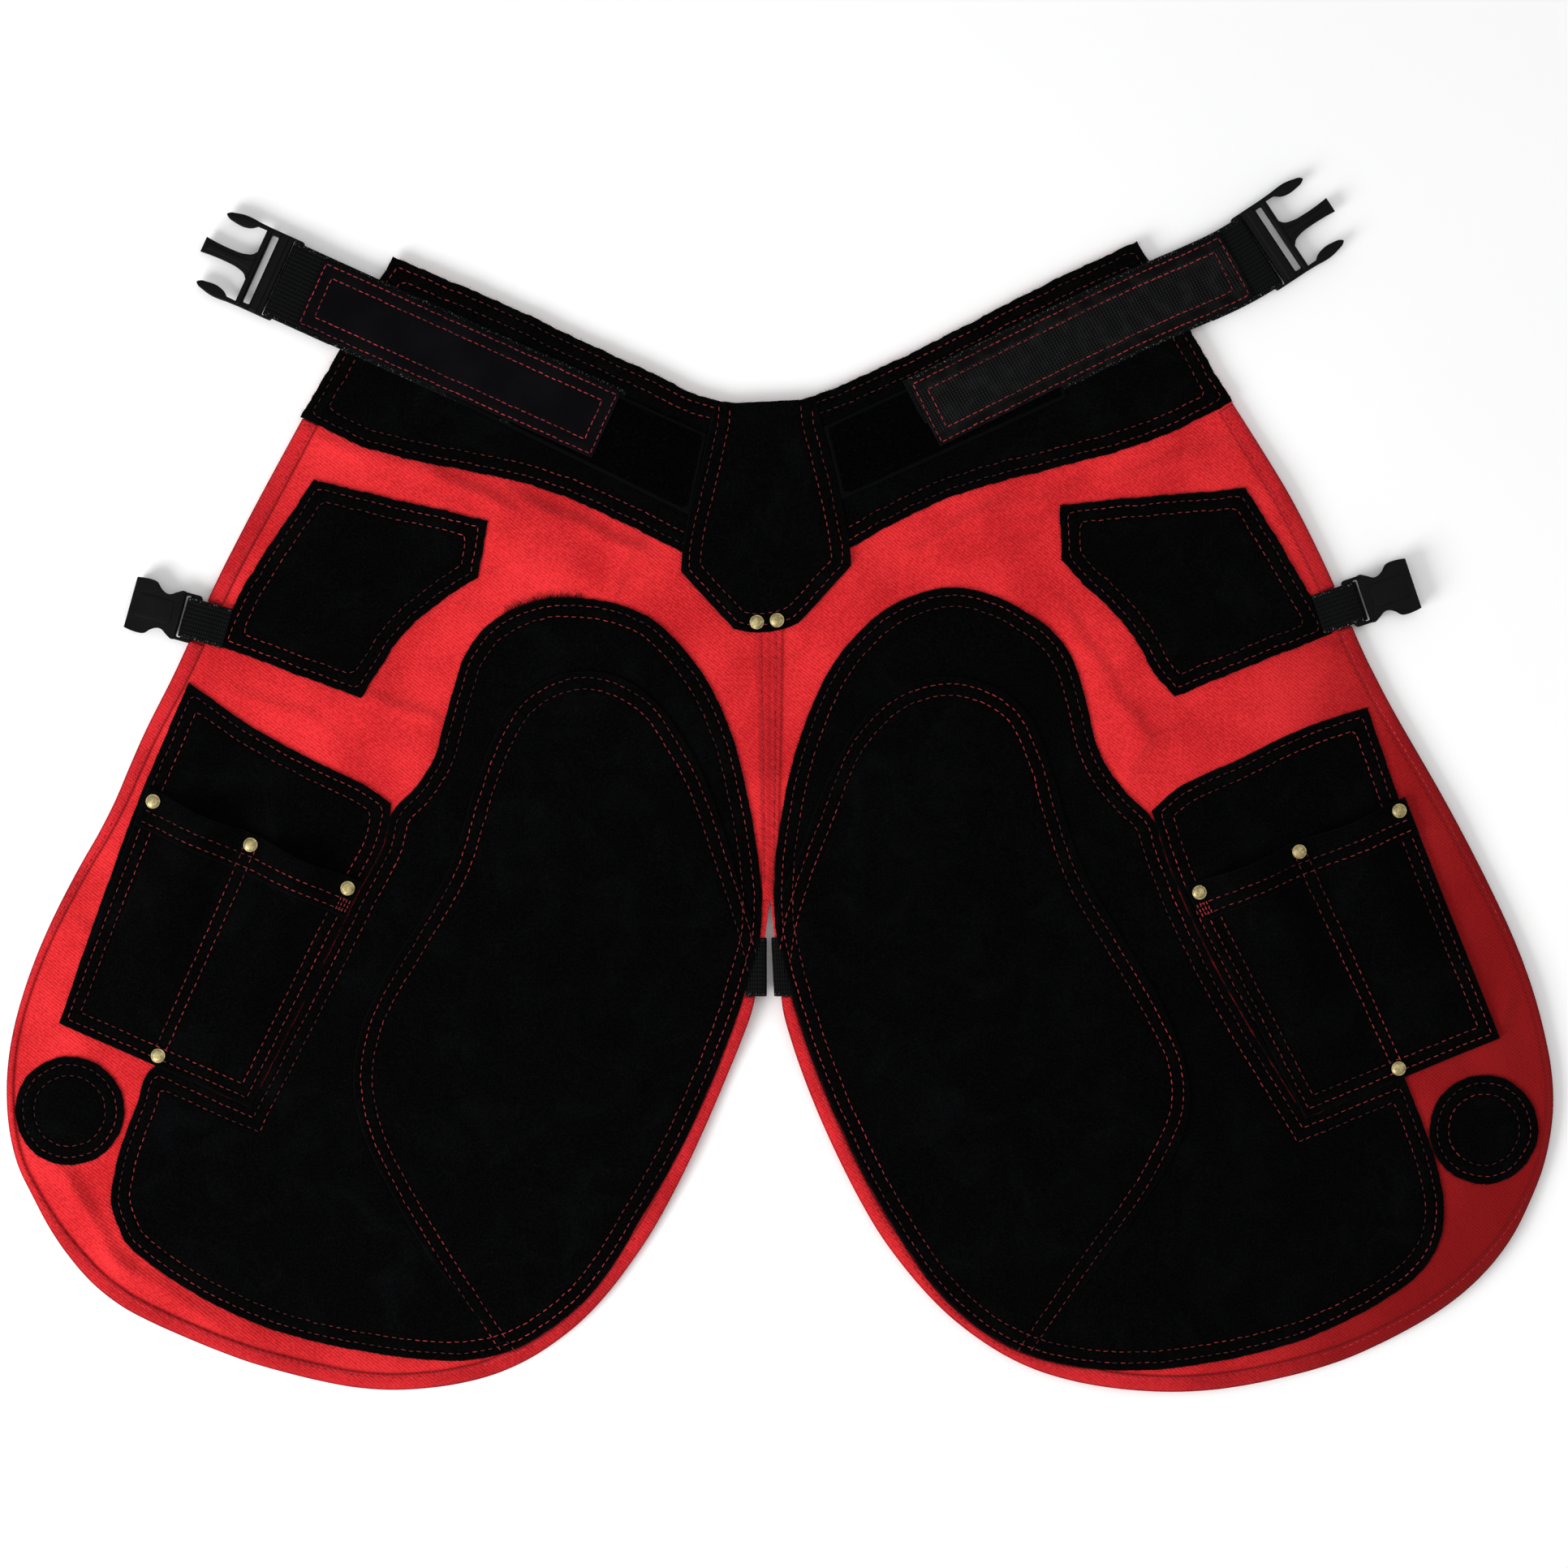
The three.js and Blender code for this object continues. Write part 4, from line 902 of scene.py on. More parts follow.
def leg(side):
    """One canvas leg with its suede pieces and their stitches."""
    named = lambda name: f"{name}_{side}"
    loops = {
        node: outline_of(named(node), rough=rough)
        for node, rough in (
            ("yoke", 0.16),
            ("leg_pad", 0.08),
            ("knee_patch", 0.05),
            ("hip_patch", 0.16),
            ("nail_patch", 0.12),
            ("tool_pocket_back", 0.08),
            ("loop_tape", 0.03),
        )
    }
    sewn = Sewing(named("suede_stitching"), THREAD, "suede")
    knee, pad = loops["knee_patch"], loops["leg_pad"]
    rows = {
        node: [row_inside(loop, OUTER_ROW), row_inside(loop, INNER_ROW)] for node, loop in loops.items()
    }
    outer = curve_through(KNEE_ROWS[side], 2.0)
    knee_rows = [outer, beside(outer, -7 if side == "left" else 7)]
    for node, tone in (("yoke", 0.2), ("hip_patch", 0.3), ("nail_patch", 0.15)):
        for row in rows[node]:
            sewn.row(row, ON_FIRST, tone=tone)
    for row in rows["leg_pad"]:
        sewn.row(row, ON_FIRST, keep=lambda points: ~inside(points, knee), tone=0.25)
        sewn.row(row, ON_SECOND, keep=lambda points: inside(points, knee), tone=0.45)
    for row in knee_rows:
        sewn.row(row, ON_SECOND, keep=lambda points: inside(points, knee), tone=0.3)
        sewn.row(row, ON_FIRST, keep=lambda points: inside(points, pad) & ~inside(points, knee))
    front = np.array(POCKETS[side])
    for row in rows["tool_pocket_back"]:
        sewn.row(row, ON_FIRST, keep=lambda points: ~inside(points, front))

    covering = ("yoke", "leg_pad", "hip_patch", "nail_patch", "tool_pocket_back")
    covers = [loops[node] for node in covering]
    edge = inset(outline_of(named("canvas")), 0.5)
    canvas_loops[side] = edge

    def crumpled(flat, up):
        """Creases where nothing is sewn on the canvas."""
        height = creased(*flat.T)
        some = height > 0.02
        free = np.clip((nearest(flat[some], joined_up(edge))[0] - 9) / 6, 0, 1)
        for cover in covers:
            clear = np.clip(nearest(flat[some], joined_up(cover))[0] / 6, 0, 1)
            free = np.minimum(free, clear * ~inside(flat[some], cover))
        height[some] *= free
        return height

    name, node = named("leg_canvas"), named("canvas")
    canvas = panel(name, node, edge, 0, CANVAS_THICK, CANVAS, spacing=3.6, over=crumpled)
    for name, node, low, thick, material, lines in (
        ("waist_yoke", "yoke", FIRST, SUEDE_THICK, SUEDE, rows["yoke"]),
        ("thigh_pad", "leg_pad", FIRST, SUEDE_THICK, SUEDE, rows["leg_pad"]),
        ("knee", "knee_patch", SECOND, SUEDE_THICK, SUEDE, knee_rows + rows["leg_pad"]),
        ("hip", "hip_patch", FIRST, SUEDE_THICK, SUEDE, rows["hip_patch"]),
        ("nail_disc", "nail_patch", FIRST, SUEDE_THICK, SUEDE, rows["nail_patch"]),
        ("pocket_back", "tool_pocket_back", FIRST, SUEDE_THICK, SUEDE, rows["tool_pocket_back"]),
        ("waist_tape", "loop_tape", SECOND, TAPE_THICK, LOOP_TAPE, []),
    ):
        piece = panel(named(name), named(node), loops[node], low, thick, material, lines)
        declare(piece, loops[node], rests_on=["floor"])
    sewing[side] = sewn
    declare(canvas, edge, rests_on=["floor"], with_pieces=hem(side))

    fringe = [
        fuzz_along(loops[node], FIRST, 1.5, 1.3)
        for node in ("yoke", "hip_patch", "nail_patch", "leg_pad")
    ]
    if side == "left":
        frayed = lambda points: (np.abs(points[:, 0] + 138) < 24) & (points[:, 1] > 95)
        fringe.append(fuzz_along(pad, FIRST, 0.22, 4.4, frayed))
    finish(named("suede_fuzz"), together(fringe), SUEDE, slot="suede", angle=100)


def hem(side):
    """The folded edge of the leg with its row of stitches."""
    edge = canvas_loops[side]
    round_it = joined_up(edge)
    sewn = Sewing(f"hem_stitching_{side}", HEM_THREAD, "hem")
    made = []
    for node in sorted(n for n in frame["nodes"] if n.startswith("hem") and n.endswith(side)):
        loop = outline_of(node, step=2.5, corner=40)

        def rolled(flat, up):
            """The fold is full along its middle, rolls over the leg's edge and puckers."""
            outside, around = nearest(flat, round_it)
            middle = np.clip(nearest(flat, joined_up(loop))[0] / 3, 0, 1)
            full = (0.5 + 0.2 * np.sin(around * 2 * math.pi / 8.5)) * middle
            roll = 1 - np.clip(outside / 2.2, 0, 1)
            return up * (full - 1.1 * roll**2) - (1 - up) * 1.5 * (outside < 1.6)

        name = f"folded_{node}"
        made.append(panel(name, node, loop, FIRST, HEM_THICK, HEM, spacing=3.2, over=rolled))
        clear = lambda points: inside(points, loop) & (nearest(points, round_it)[0] > 2.6)
        sewn.row(row_inside(loop, 2.2), ON_HEM, tone=0.35, keep=clear, pitch=HEM_PITCH)
    sewn.make()
    return made


def pocket_place(side, a, b):
    """A place on the pocket's front: a from its outer to its inner side, b from mouth to foot."""
    outer_mouth, inner_mouth, inner_foot, outer_foot = np.array(POCKETS[side])
    a, b = np.asarray(a)[..., None], np.asarray(b)[..., None]
    mouth = outer_mouth + (inner_mouth - outer_mouth) * a
    foot = outer_foot + (inner_foot - outer_foot) * a
    return mouth + (foot - mouth) * b


def pocket_size(side):
    width = np.linalg.norm(pocket_place(side, 0, 0) - pocket_place(side, 1, 0))
    return width, np.linalg.norm(pocket_place(side, 0.5, 0) - pocket_place(side, 0.5, 1))


def pocket_arch(side, a, b):
    """How far the pocket's front stands off its back."""
    width, length = pocket_size(side)
    margin = POCKET_MARGIN / width
    cell = (1 - (2 * POCKET_MARGIN + POCKET_DIVIDER) / width) / 2
    full = np.sin(np.pi * np.clip((np.minimum(a, 1 - a) - margin) / cell, 0, 1))
    taper = np.cos(np.pi / 2 * np.clip(b / (1 - POCKET_MARGIN / length), 0, 1))
    return POCKET_OPEN * full**1.25 * taper


def pocket(side):
    """The pocket's front and the band along its mouth, standing open in two cells."""
    width, length = pocket_size(side)
    sewn = sewing[side]
    across, down = 1 / width, 1 / length
    front, on_band = SECOND + SUEDE_THICK - SUNK, THIRD + SUEDE_THICK - SUNK
    rows = [
        (on_band, [(3 * across, 13.5 * down), (1 - 3 * across, 13.5 * down)], {}),
        (on_band, [(3 * across, 20.5 * down), (1 - 3 * across, 20.5 * down)], {}),
    ]
    for aside in (-3.6, 3.6):
        middle = 0.5 + aside * across
        rows.append((on_band, [(middle, 2 * down), (middle, POCKET_BAND * down)], {}))
        rows.append((front, [(middle, POCKET_BAND * down), (middle, 1 - 5 * down)], {}))
    for row in (OUTER_ROW, INNER_ROW):
        for edge in (row * across, 1 - row * across):
            rows.append((front, [(edge, POCKET_BAND * down), (edge, 1 - row * down)], {}))
        ends = [(row * across, 1 - row * down), (1 - row * across, 1 - row * down)]
        rows.append((front, ends, {}))
    for edge in (1.6, 3.6, 5.6, 7.6):
        ends = [(1 - edge * across, 12.5 * down), (1 - edge * across, 21.5 * down)]
        rows.append((on_band, ends, {"tone": 1.0, "pitch": 2.9}))

    for name, node, low, reach in (
        ("pocket_front", "tool_pocket_front", SECOND, 1.0),
        ("pocket_band", "tool_pocket_band", THIRD, POCKET_BAND / length),
    ):
        sewn_here = [np.array(line) for height, line, _ in rows if height == low + SUEDE_THICK - SUNK]
        pulls = [pocket_place(side, *evenly(line, 0.02).T) for line in sewn_here]

        def shape(place):
            a, b = place[:, 1] / width + 0.5, place[:, 0] / length
            away = np.minimum(np.minimum(a, 1 - a) * width, np.minimum(b, reach - b) * length)
            dip = 1.8 * np.sin(np.pi * np.clip((np.minimum(a, 1 - a) - 0.08) / 0.38, 0, 1)) / length
            flat = pocket_place(side, a, b + dip * (1 - b / reach))
            pull = sewn_down(pocket_place(side, a, b), pulls)
            up = np.clip(place[:, 2] / SUEDE_THICK, 0, 1)
            height = place[:, 2] + ground(*flat.T) + low + pocket_arch(side, a, b) - PULL * up * pull
            return np.column_stack([flat, height]), {"edge": away, "along": a * width, "pull": pull}

        strip = flat_strip(reach * length, width, SUEDE_THICK, 2.4, 60)
        piece = finish(f"{name}_{side}", strip, SUEDE, [f"{node}_{side}"], shape=shape)

    for height, line, more in rows:
        shares = evenly(np.array(line) * (width, length), 2.0) / (width, length)
        spots = pocket_place(side, *shares.T)
        heights = ground(*spots.T) + height + pocket_arch(side, *shares.T)

        def top(x, y, spots=spots, heights=heights):
            gap = np.linalg.norm(np.column_stack([x, y])[:, None] - spots, axis=2)
            close = np.argsort(gap, axis=1)[:, :2]
            weight = 1 / (np.take_along_axis(gap, close, 1) + 1e-3)
            return (heights[close] * weight).sum(1) / weight.sum(1)

        sewn.row(spots, top, **more)


for side in SIDES:
    leg(side)
    pocket(side)


# The centre seam and the tongue

# The groove where the two folds of the seam meet, and the rows of stitches at its sides
SEAM_LINES = [[(1.2, 84), (1.2, -72)], [(-4.0, 84), (-2.2, -68)], [(5.2, 84), (3.6, -68)]]


def felled(flat, up):
    """Two folds meet in a groove, and their stitches pucker them."""
    full = 0.55 * np.clip(nearest(flat, joined_up(seam_loop))[0] / 2.4, 0, 1)
    return up * (full + 0.3 * np.sin(flat[:, 1] * 2 * math.pi / 7 + flat[:, 0] * 0.7))


seam_loop = outline_of("centre_seam")
seam_rows = [evenly(np.array(ends, float), 2.0) for ends in SEAM_LINES]
seam = panel("felled_seam", "centre_seam", seam_loop, FIRST, HEM_THICK, SEAM, seam_rows, 1.9, felled)
declare(seam, seam_loop, rests_on=["floor"])
seam_sewing = Sewing("seam_stitching", HEM_THREAD, "hem")
for row in seam_rows[1:]:
    seam_sewing.row(row, level(FIRST + HEM_THICK + 0.2), tone=0.25, pitch=HEM_PITCH)
seam_sewing.make()

tongue_loop = outline_of("tongue", corner=18, rough=0.06)
# The rows run on past the waist, where the tongue has no row along its edge
raised = np.where((tongue_loop[:, 1] > 217)[:, None], tongue_loop + (0, 16), tongue_loop)
tongue_rows = [row_inside(raised, OUTER_ROW), row_inside(raised, INNER_ROW)]
tongue = panel("front_tongue", "tongue", tongue_loop, SECOND, SUEDE_THICK, SUEDE, tongue_rows)
declare(tongue, tongue_loop, rests_on=["floor"])
for row in tongue_rows:
    sewing["left"].row(row, ON_SECOND, keep=lambda points: points[:, 1] < 224)
for side in SIDES:
    sewing[side].make()
    sewing[side].make(below=level(0))


# Belts and straps


def carried(origin, turn):
    """Moves points drawn along X to a place and direction of the apron."""
    c, s = math.cos(turn), math.sin(turn)

    def place(points):
        points = np.asarray(points, float)
        x = origin[0] + points[:, 0] * c - points[:, 1] * s
        y = origin[1] + points[:, 0] * s + points[:, 1] * c
        return np.column_stack([x, y, points[:, 2]])

    return place


def on_path(path):
    """Bends a flat strip along X to a path given along and up."""
    walked, ahead = lengths_along(path), direction(path)

    def place(points):
        at = np.clip(points[:, 0], 0, walked[-1])
        x, z = (np.interp(at, walked, path[:, k]) for k in (0, 1))
        dx, dz = (np.interp(at, walked, ahead[:, k]) for k in (0, 1))
        return np.column_stack([x - points[:, 2] * dz, points[:, 1], z + points[:, 2] * dx])

    return place


def rounded_path(corners, radius):
    """A path with its corners rounded."""
    corners = np.asarray(corners, float)
    path = [corners[:1]]
    for before, here, after in zip(corners, corners[1:], corners[2:]):
        back, on = before - here, after - here
        reach = min(radius, np.linalg.norm(back) / 2, np.linalg.norm(on) / 2)
        start = here + back / np.linalg.norm(back) * reach
        end = here + on / np.linalg.norm(on) * reach
        t = np.linspace(0, 1, 7)[:, None]
        path.append((1 - t) ** 2 * start + 2 * t * (1 - t) * here + t**2 * end)
    path.append(corners[-1:])
    return evenly(np.vstack(path), 0.5)


def webbing(name, path, width, place, node):
    """A length of webbing along a path."""
    length = lengths_along(path)[-1]
    bend = on_path(path)

    def shape(points):
        along, across = points[:, 0], points[:, 1]
        moved = place(bend(points - (0, 0, WEBBING_THICK / 2)))
        return moved, {"along": along, "across": across, "edge": width / 2 - np.abs(across)}

    strip = flat_strip(length, width, WEBBING_THICK, 1.5, 18, 0.55)
    return finish(name, strip, WEBBING, [node], shape=shape, angle=70)


# Each half of the belt: its inner end, direction in degrees, length to the middle of the plug's open
# slot, length of its cover, and how far it sways aside at shares of its length
BELTS = {
    "left": {
        "start": (-96.63, 211.04),
        "turn": 155.7,
        "length": 235.992,
        "patch": 200.0,
        "sway": [(0, 0), (1, 0)],
    },
    "right": {
        "start": (93.77, 217.72),
        "turn": 26.4,
        "length": 245.808,
        "patch": 213.0,
        "sway": [(0, 0), (0.45, 0), (0.6, -0.5), (0.7, -1.58), (0.78, -2.67), (0.86, -3.07), (1, 0)],
    },
}
# Creases across the hook tape: place along it, width, height, slant
CREASED_TAPE = [
    (126, 4, 0.8, 0.25), (139, 4, 1.1, 0.2), (153, 3.5, 0.9, 0.3), (168, 5, 0.8, 0.15), (185, 4, 0.6, 0.2),
]
BELT_WIDTH, PATCH_WIDTH, PATCH_INSET, FOLDED_BACK = 49, 44, 2.5, 44
COVER_ROWS = (2.2, 9.0)
# The plug's bar for the webbing, its open slot, its slot for the webbing and the bar between them
BAR_THICK, BAR_WIDTH, SLOT, WEBBING_SLOT, MIDDLE_BAR = 4.0, 4.5, 4.5, 2.4, 9.1


def swayed(belt):
    """Bends points drawn along X to the belt's own line, and gives its direction at the end."""
    line = curve_through([(share * belt["length"], aside) for share, aside in belt["sway"]], 1.0)
    walked, ahead = lengths_along(line), direction(line)

    def bend(points):
        at = points[:, 0] / belt["length"] * walked[-1]
        cx, cy = (np.interp(at, walked, line[:, k]) for k in (0, 1))
        tx, ty = (np.interp(at, walked, ahead[:, k]) for k in (0, 1))
        return np.column_stack([cx - points[:, 1] * ty, cy + points[:, 1] * tx, points[:, 2]])

    return bend, math.atan2(ahead[-1][1], ahead[-1][0])


def belt(side):
    """The belt's webbing, the cover sewn on it and the plug at its end."""
    size = BELTS[side]
    bend, swing = swayed(size)
    lay = carried(size["start"], math.radians(size["turn"]))
    place = lambda points: lay(bend(points))
    bar_end = size["length"] - SLOT / 2 - MIDDLE_BAR - WEBBING_SLOT
    half = WEBBING_THICK / 2
    fold = bar_end + GAP + half
    bar_top = WEBBING_THICK + GAP + BAR_THICK + GAP
    turned = size["patch"] + PATCH_INSET + 1
    path = rounded_path(
        [
            (0, THIRD + half),
            (turned, THIRD + half),
            (bar_end - BAR_WIDTH - 1, bar_top + half),
            (fold, bar_top + half),
            (fold, half),
            (fold - FOLDED_BACK, half),
        ],
        2.4,
    )
    webbing(f"belt_webbing_{side}", path, BELT_WIDTH, place, f"belt_strap_{side}")
    seat = THIRD + WEBBING_THICK + GAP
    low, high = PATCH_INSET, PATCH_INSET + size["patch"]

    def crease(x, y):
        """Soft unevenness of the smooth cover, and the creases across the hook tape."""
        if side == "left":
            return 0.2 + 0.14 * np.sin(x / 19) + 0.1 * np.sin(x / 7.3 + y / 15)
        ridge = sum(
            rise * np.exp(-(((x + y * slant - at) / width) ** 2)) for at, width, rise, slant in CREASED_TAPE
        )
        return ridge * np.clip(1.1 - np.abs(y) / 24, 0, 1)

    rows = []
    for row in COVER_ROWS:
        x0, x1, y = low + row, high - row, PATCH_WIDTH / 2 - row
        corners = [(x0, -y), (x1, -y), (x1, y), (x0, y)]
        rows += [evenly(np.array(ends), 1.0) for ends in zip(corners, corners[1:] + corners[:1])]

    def cover(points):
        up = np.clip(points[:, 2] / PATCH_THICK, 0, 1)
        pull = sewn_down(points[:, :2], rows)
        points[:, 2] += seat + crease(points[:, 0], points[:, 1]) - 0.3 * up * pull
        return place(points), {"along": points[:, 0], "across": points[:, 1], "pull": pull}

    strip = flat_strip(size["patch"], PATCH_WIDTH, PATCH_THICK, 1.5, 30, 0.4)
    bmesh.ops.translate(strip, vec=(PATCH_INSET, 0, 0), verts=strip.verts)
    material = HOOK if side == "right" else SMOOTH
    finish(f"belt_cover_{side}", strip, material, [f"belt_patch_{side}"], shape=cover)
    ring = Sewing(f"belt_stitching_{side}", THREAD, "patch_leather")

    for row in rows:
        path = place(np.column_stack([row, np.zeros(len(row))]))[:, :2]
        tops = seat + PATCH_THICK + crease(*row.T)

        def top(x, y, path=path, tops=tops):
            gap = np.linalg.norm(np.column_stack([x, y])[:, None] - path, axis=2)
            return tops[gap.argmin(1)]

        ring.row(path, top, tone=0.75, pitch=4.3)
    ring.make()
    end = place(np.array([[size["length"], 0.0, 0.0]]))[0]
    plug(side, carried(end[:2], math.radians(size["turn"]) + swing))


def rectangle(x0, y0, x1, y1, radius):
    """A rectangle with round corners."""
    places = [(x1, y0, -90), (x1, y1, 0), (x0, y1, 90), (x0, y0, 180)]
    corners = []
    for x, y, start in places:
        cx = x - math.copysign(radius, x - (x0 + x1) / 2)
        cy = y - math.copysign(radius, y - (y0 + y1) / 2)
        for turn in np.radians(range(start, start + 91, 18)):
            corners.append((cx + radius * math.cos(turn), cy + radius * math.sin(turn)))
    return np.array(corners)


def both_sides(edge):
    """The closed outline whose one half is the given edge."""
    loop = np.vstack([edge, edge[::-1] * (1, -1)])
    loop = loop[np.linalg.norm(loop - np.roll(loop, 1, 0), axis=1) > 0.05]
    return anticlockwise(loop)


def moulded(name, parts, place, node):
    """A piece of plastic made of several plates."""
    laid = lambda points: (place(points), {})
    finish(name, together(parts), PLASTIC, [node], shape=laid, angle=35)


# Half the outline of the plug's middle blade, and the outline of one prong
BLADE_EDGE = [(4, 12), (6, 9.6), (8.5, 6.6), (13, 4.9), (22, 4.1), (31, 4.3), (38.5, 4.9)]
PRONG = [
    (15.8, 26.9), (21.8, 26.9), (27.7, 25.7), (31.7, 24.3), (33, 22.8), (31.4, 21.3), (26.4, 20.1),
    (20.5, 19.8), (15.8, 21.1), (12.5, 23.6),
]


def plug(side, place):
    """The plug half of a side release buckle, drawn along X from the middle of its open slot."""
    middle = WEBBING_THICK + GAP + BAR_THICK / 2
    half = BELT_WIDTH / 2
    rim = half + GAP + 1.4
    bar_end = -SLOT / 2 - MIDDLE_BAR - WEBBING_SLOT
    cross = SLOT / 2 + 4
    outer = rectangle(bar_end - BAR_WIDTH, -rim, cross, rim, 1.6)
    open_slot = rectangle(-SLOT / 2, -half + 2, SLOT / 2, half - 2, 0.9)[::-1]
    web_slot = rectangle(bar_end, -half - GAP, bar_end + WEBBING_SLOT, half + GAP, 0.9)[::-1]
    raised = rectangle(-SLOT / 2 - MIDDLE_BAR + 2.6, -rim + 0.6, -SLOT / 2 - 0.2, rim - 0.6, 1.2)
    far = rectangle(SLOT / 2 + 0.2, -rim + 0.8, cross - 0.2, rim - 0.8, 1.2)
    edge = curve_through(BLADE_EDGE, 1.0)
    rib = edge * (1, 0.45)
    rib[:, 0] = np.minimum(rib[:, 0], 36)
    parts = [
        cast([outer, open_slot, web_slot], middle - 2.4, middle + 2.4, 0.6),
        cast([raised], middle - 3, middle + 3, 1.2),
        cast([far], middle - 3, middle + 3, 1.2),
        cast([both_sides(edge)], middle - 2, middle + 2, 0.5),
        cast([both_sides(rib)], middle - 2.4, middle + 2.4, 0.6),
    ]
    prong = np.vstack([[(3.5, 23.8), (3.5, 26.2), (11.9, 26.5)], curve_through(PRONG, 0.8)])
    for way in (1, -1):
        parts.append(cast([anticlockwise(prong * (1, way))], middle - 2.5, middle + 2.5, 0.8))
    moulded(f"belt_plug_{side}", parts, place, f"belt_buckle_{side}")


# The thigh strap and its socket, and half the outline of the socket from its mouth
STRAP_WIDTH, SOCKET_LENGTH, SOCKET_THICK, SOCKET_WALL = 25, 41, 9.4, 1.9
SOCKET_EDGE = [
    (0, 15.4), (-3.7, 16), (-10.5, 15.6), (-13.5, 12.6), (-17, 10.6), (-21.7, 10.4), (-26, 13), (-30, 15),
    (-33.5, 15),
]


def leg_strap(side):
    """The short strap on the thigh with the socket of a side release buckle."""
    mount = next(m for m in frame["record"]["mounts"] if m["name"] == f"leg_socket_{side}")
    origin = np.array(mount["pos_m"][:2]) / MM
    place = carried(origin, math.atan2(mount["axis"][1], mount["axis"][0]))
    high = FIRST + WEBBING_THICK + GAP
    half = WEBBING_THICK / 2
    bar_top = high + 3 + GAP
    fold = 7 + GAP + half - SOCKET_LENGTH
    path = rounded_path(
        [
            (-60.5, FIRST + half),
            (fold, FIRST + half),
            (fold, bar_top + half),
            (-SOCKET_LENGTH - 1, bar_top + half),
            (-SOCKET_LENGTH - 14, high + half),
            (-60.5, high + half),
        ],
        2.0,
    )

    def laid(points):
        """On the folds of the leg where the strap is sewn to it."""
        moved = place(points)
        moved[:, 2] += ground(*moved[:, :2].T) * np.clip((-points[:, 0] - 30) / 20, 0, 1)
        return moved

    webbing(f"leg_webbing_{side}", path, STRAP_WIDTH, laid, f"leg_strap_{side}")
    middle = high + 1.5
    low, top = middle - SOCKET_THICK / 2, middle + SOCKET_THICK / 2
    body = both_sides(curve_through(SOCKET_EDGE, 0.8))
    body[:, 0] = np.maximum(body[:, 0], -29.5)
    body = body[np.linalg.norm(body - np.roll(body, 1, 0), axis=1) > 0.05]
    window = STRAP_WIDTH / 2 + 0.6
    arms = rectangle(-SOCKET_LENGTH, -15, -27.5, 15, 2.4)
    slot = rectangle(-34, -window, -30.9, window, 1.0)[::-1]
    parts = [
        cast([body], top - SOCKET_WALL, top, 0.7),
        cast([body], low, low + SOCKET_WALL, 0.7),
        cast([rectangle(-29.6, -14.6, -27, 14.6, 0.8)], low + 0.5, top - 0.5, 0.6),
        cast([arms, slot], high - 0.2, high + 3.2, 0.8),
        cast([rectangle(-25.5, -7.5, -3, 7.5, 2.5)], top - 0.8, top + 0.35, 0.3),
    ]
    cheeks = (
        [(0, 15.2), (-10.2, 15.4), (-10.8, 13.4), (0, 12.4)],
        [(-21, 10.2), (-26, 12.8), (-29.8, 14.8), (-29.8, 8), (-24, 7)],
    )
    for way in (1, -1):
        for corners in cheeks:
            cheek = anticlockwise(np.array(corners) * (1, way))
            parts.append(cast([cheek], low + 0.4, top - 0.4, 0.5))
    moulded(f"leg_socket_{side}", parts, place, f"leg_buckle_{side}")


TAB_WIDTH, TAB_REACH = 36, 13


def box_of(node):
    """The lowest and highest corner of a CAD node in millimetres."""
    return (np.array(corner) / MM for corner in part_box(node))


def thigh_tab(side):
    """The webbing that comes out from under the pad and wraps round the edge of the leg."""
    low, high = box_of(f"thigh_tab_{side}")
    sign = -1 if side == "left" else 1
    edge = low[0] if sign > 0 else high[0]
    centre = (low[1] + high[1]) / 2
    half = WEBBING_THICK / 2
    lean = (1.2, 0.0) if side == "left" else (0.0, 0.05)
    over, under = FIRST + half, -GAP - half
    path = rounded_path([(TAB_REACH, over), (half, over), (half, under), (TAB_REACH, under)], 1.4)

    def place(points):
        x = edge + sign * (points[:, 0] + lean[0] + (TAB_WIDTH / 2 - points[:, 1]) * lean[1])
        y = centre + points[:, 1]
        return np.column_stack([x, y, points[:, 2] + ground(x, y)])

    webbing(f"edge_tab_{side}", path, TAB_WIDTH, place, f"thigh_tab_{side}")


# Half the section of a rivet, from the top of its dome: radius, height
RIVET = [
    (0, 1.62), (1.4, 1.56), (2.6, 1.38), (3.5, 1.02), (3.75, 0.8), (3.95, 0.86), (4.25, 0.86), (4.5, 0.6),
    (4.5, 0.3), (4.3, 0.05), (1.6, 0.0), (1.6, -3.4), (0, -3.4),
]


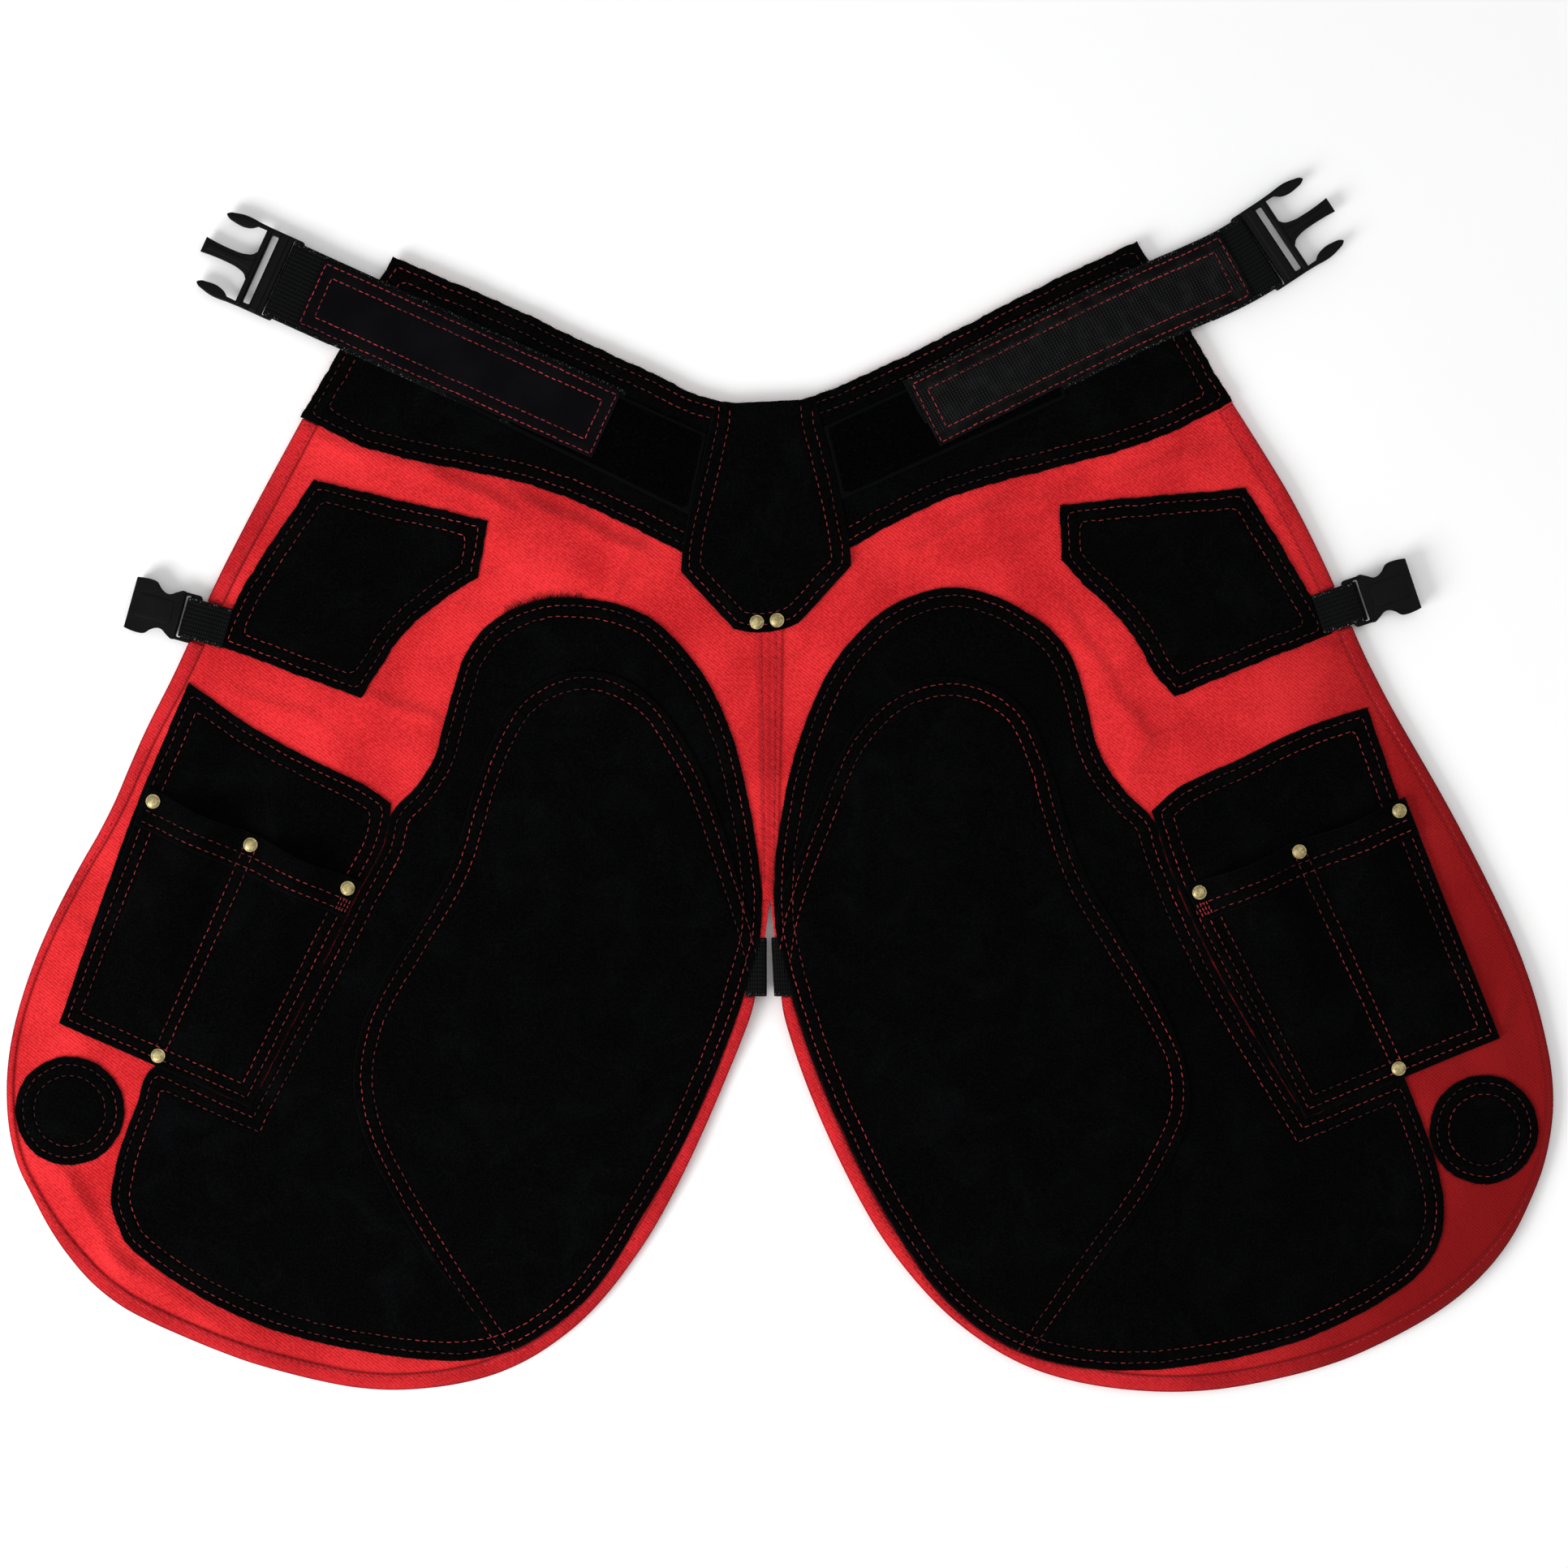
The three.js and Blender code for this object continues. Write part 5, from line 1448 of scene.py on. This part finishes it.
def rivet(node):
    """A domed rivet with a rolled rim."""
    low, high = box_of(node)
    x, y = (low + high)[:2] / 2
    work = bmesh.new()
    profile = [work.verts.new((radius, 0, height)) for radius, height in RIVET]
    edges = [work.edges.new(pair) for pair in zip(profile, profile[1:])]
    bmesh.ops.spin(
        work,
        geom=profile + edges,
        cent=(0, 0, 0),
        axis=(0, 0, 1),
        angle=2 * math.pi,
        steps=28,
        use_merge=True,
    )
    bmesh.ops.remove_doubles(work, verts=work.verts, dist=1e-3)
    bmesh.ops.translate(work, vec=(x, y, high[2] - 1.6 + float(ground(x, y))), verts=work.verts)
    finish(f"brass_{node}", work, BRASS, [node])


for side in SIDES:
    belt(side)
    leg_strap(side)
    thigh_tab(side)
for node in sorted(frame["nodes"]):
    if "rivet" in node:
        rivet(node)


# Floor, light and camera

# Each light: its name, place in metres, power, size
LIGHTS = [
    ("key", (-1.6, -1.2, 1.35), 50, 1.3),
    ("fill", (1.6, 0.8, 1.9), 7, 1.6),
    ("top", (0.0, 0.2, 2.9), 16, 2.4),
]


def studio():
    """A pale floor under the apron, soft light, and the camera straight above."""
    floor_paint = Surface("pale_floor", Roughness=0.85, Specular_IOR_Level=0.1)
    pale, palest = shade(250, 250, 250), shade(254, 254, 254)
    floor_paint.colour(floor_paint.mix(floor_paint.noise(300, 2), pale, palest))
    work = bmesh.new()
    bmesh.ops.create_grid(work, x_segments=1, y_segments=1, size=4)
    bmesh.ops.translate(work, vec=(0, 0, -0.0023), verts=work.verts)
    mesh = bpy.data.meshes.new("floor")
    work.to_mesh(mesh)
    work.free()
    mesh.materials.append(floor_paint.material)
    floor = bpy.data.objects.new("floor", mesh)
    bpy.context.collection.objects.link(floor)
    for name, place, power, size in LIGHTS:
        light = bpy.data.lights.new(name, "AREA")
        light.energy = power
        light.size = size
        lamp = bpy.data.objects.new(name, light)
        bpy.context.collection.objects.link(lamp)
        lamp.location = place
        lamp.rotation_euler = Vector(place).to_track_quat("Z", "Y").to_euler()
    world = bpy.data.worlds.new("room")
    world.use_nodes = True
    sky = world.node_tree.nodes["Background"]
    sky.inputs["Color"].default_value = (1, 1, 1, 1)
    sky.inputs["Strength"].default_value = 0.48
    bpy.context.scene.world = world
    lens = bpy.data.cameras.new("camera")
    lens.lens = 100
    lens.sensor_width = 36
    camera = bpy.data.objects.new("camera", lens)
    bpy.context.collection.objects.link(camera)
    camera.location = (0.010, -0.008, 2.683)
    bpy.context.scene.camera = camera
    bpy.context.scene.view_settings.view_transform = "Standard"


studio()
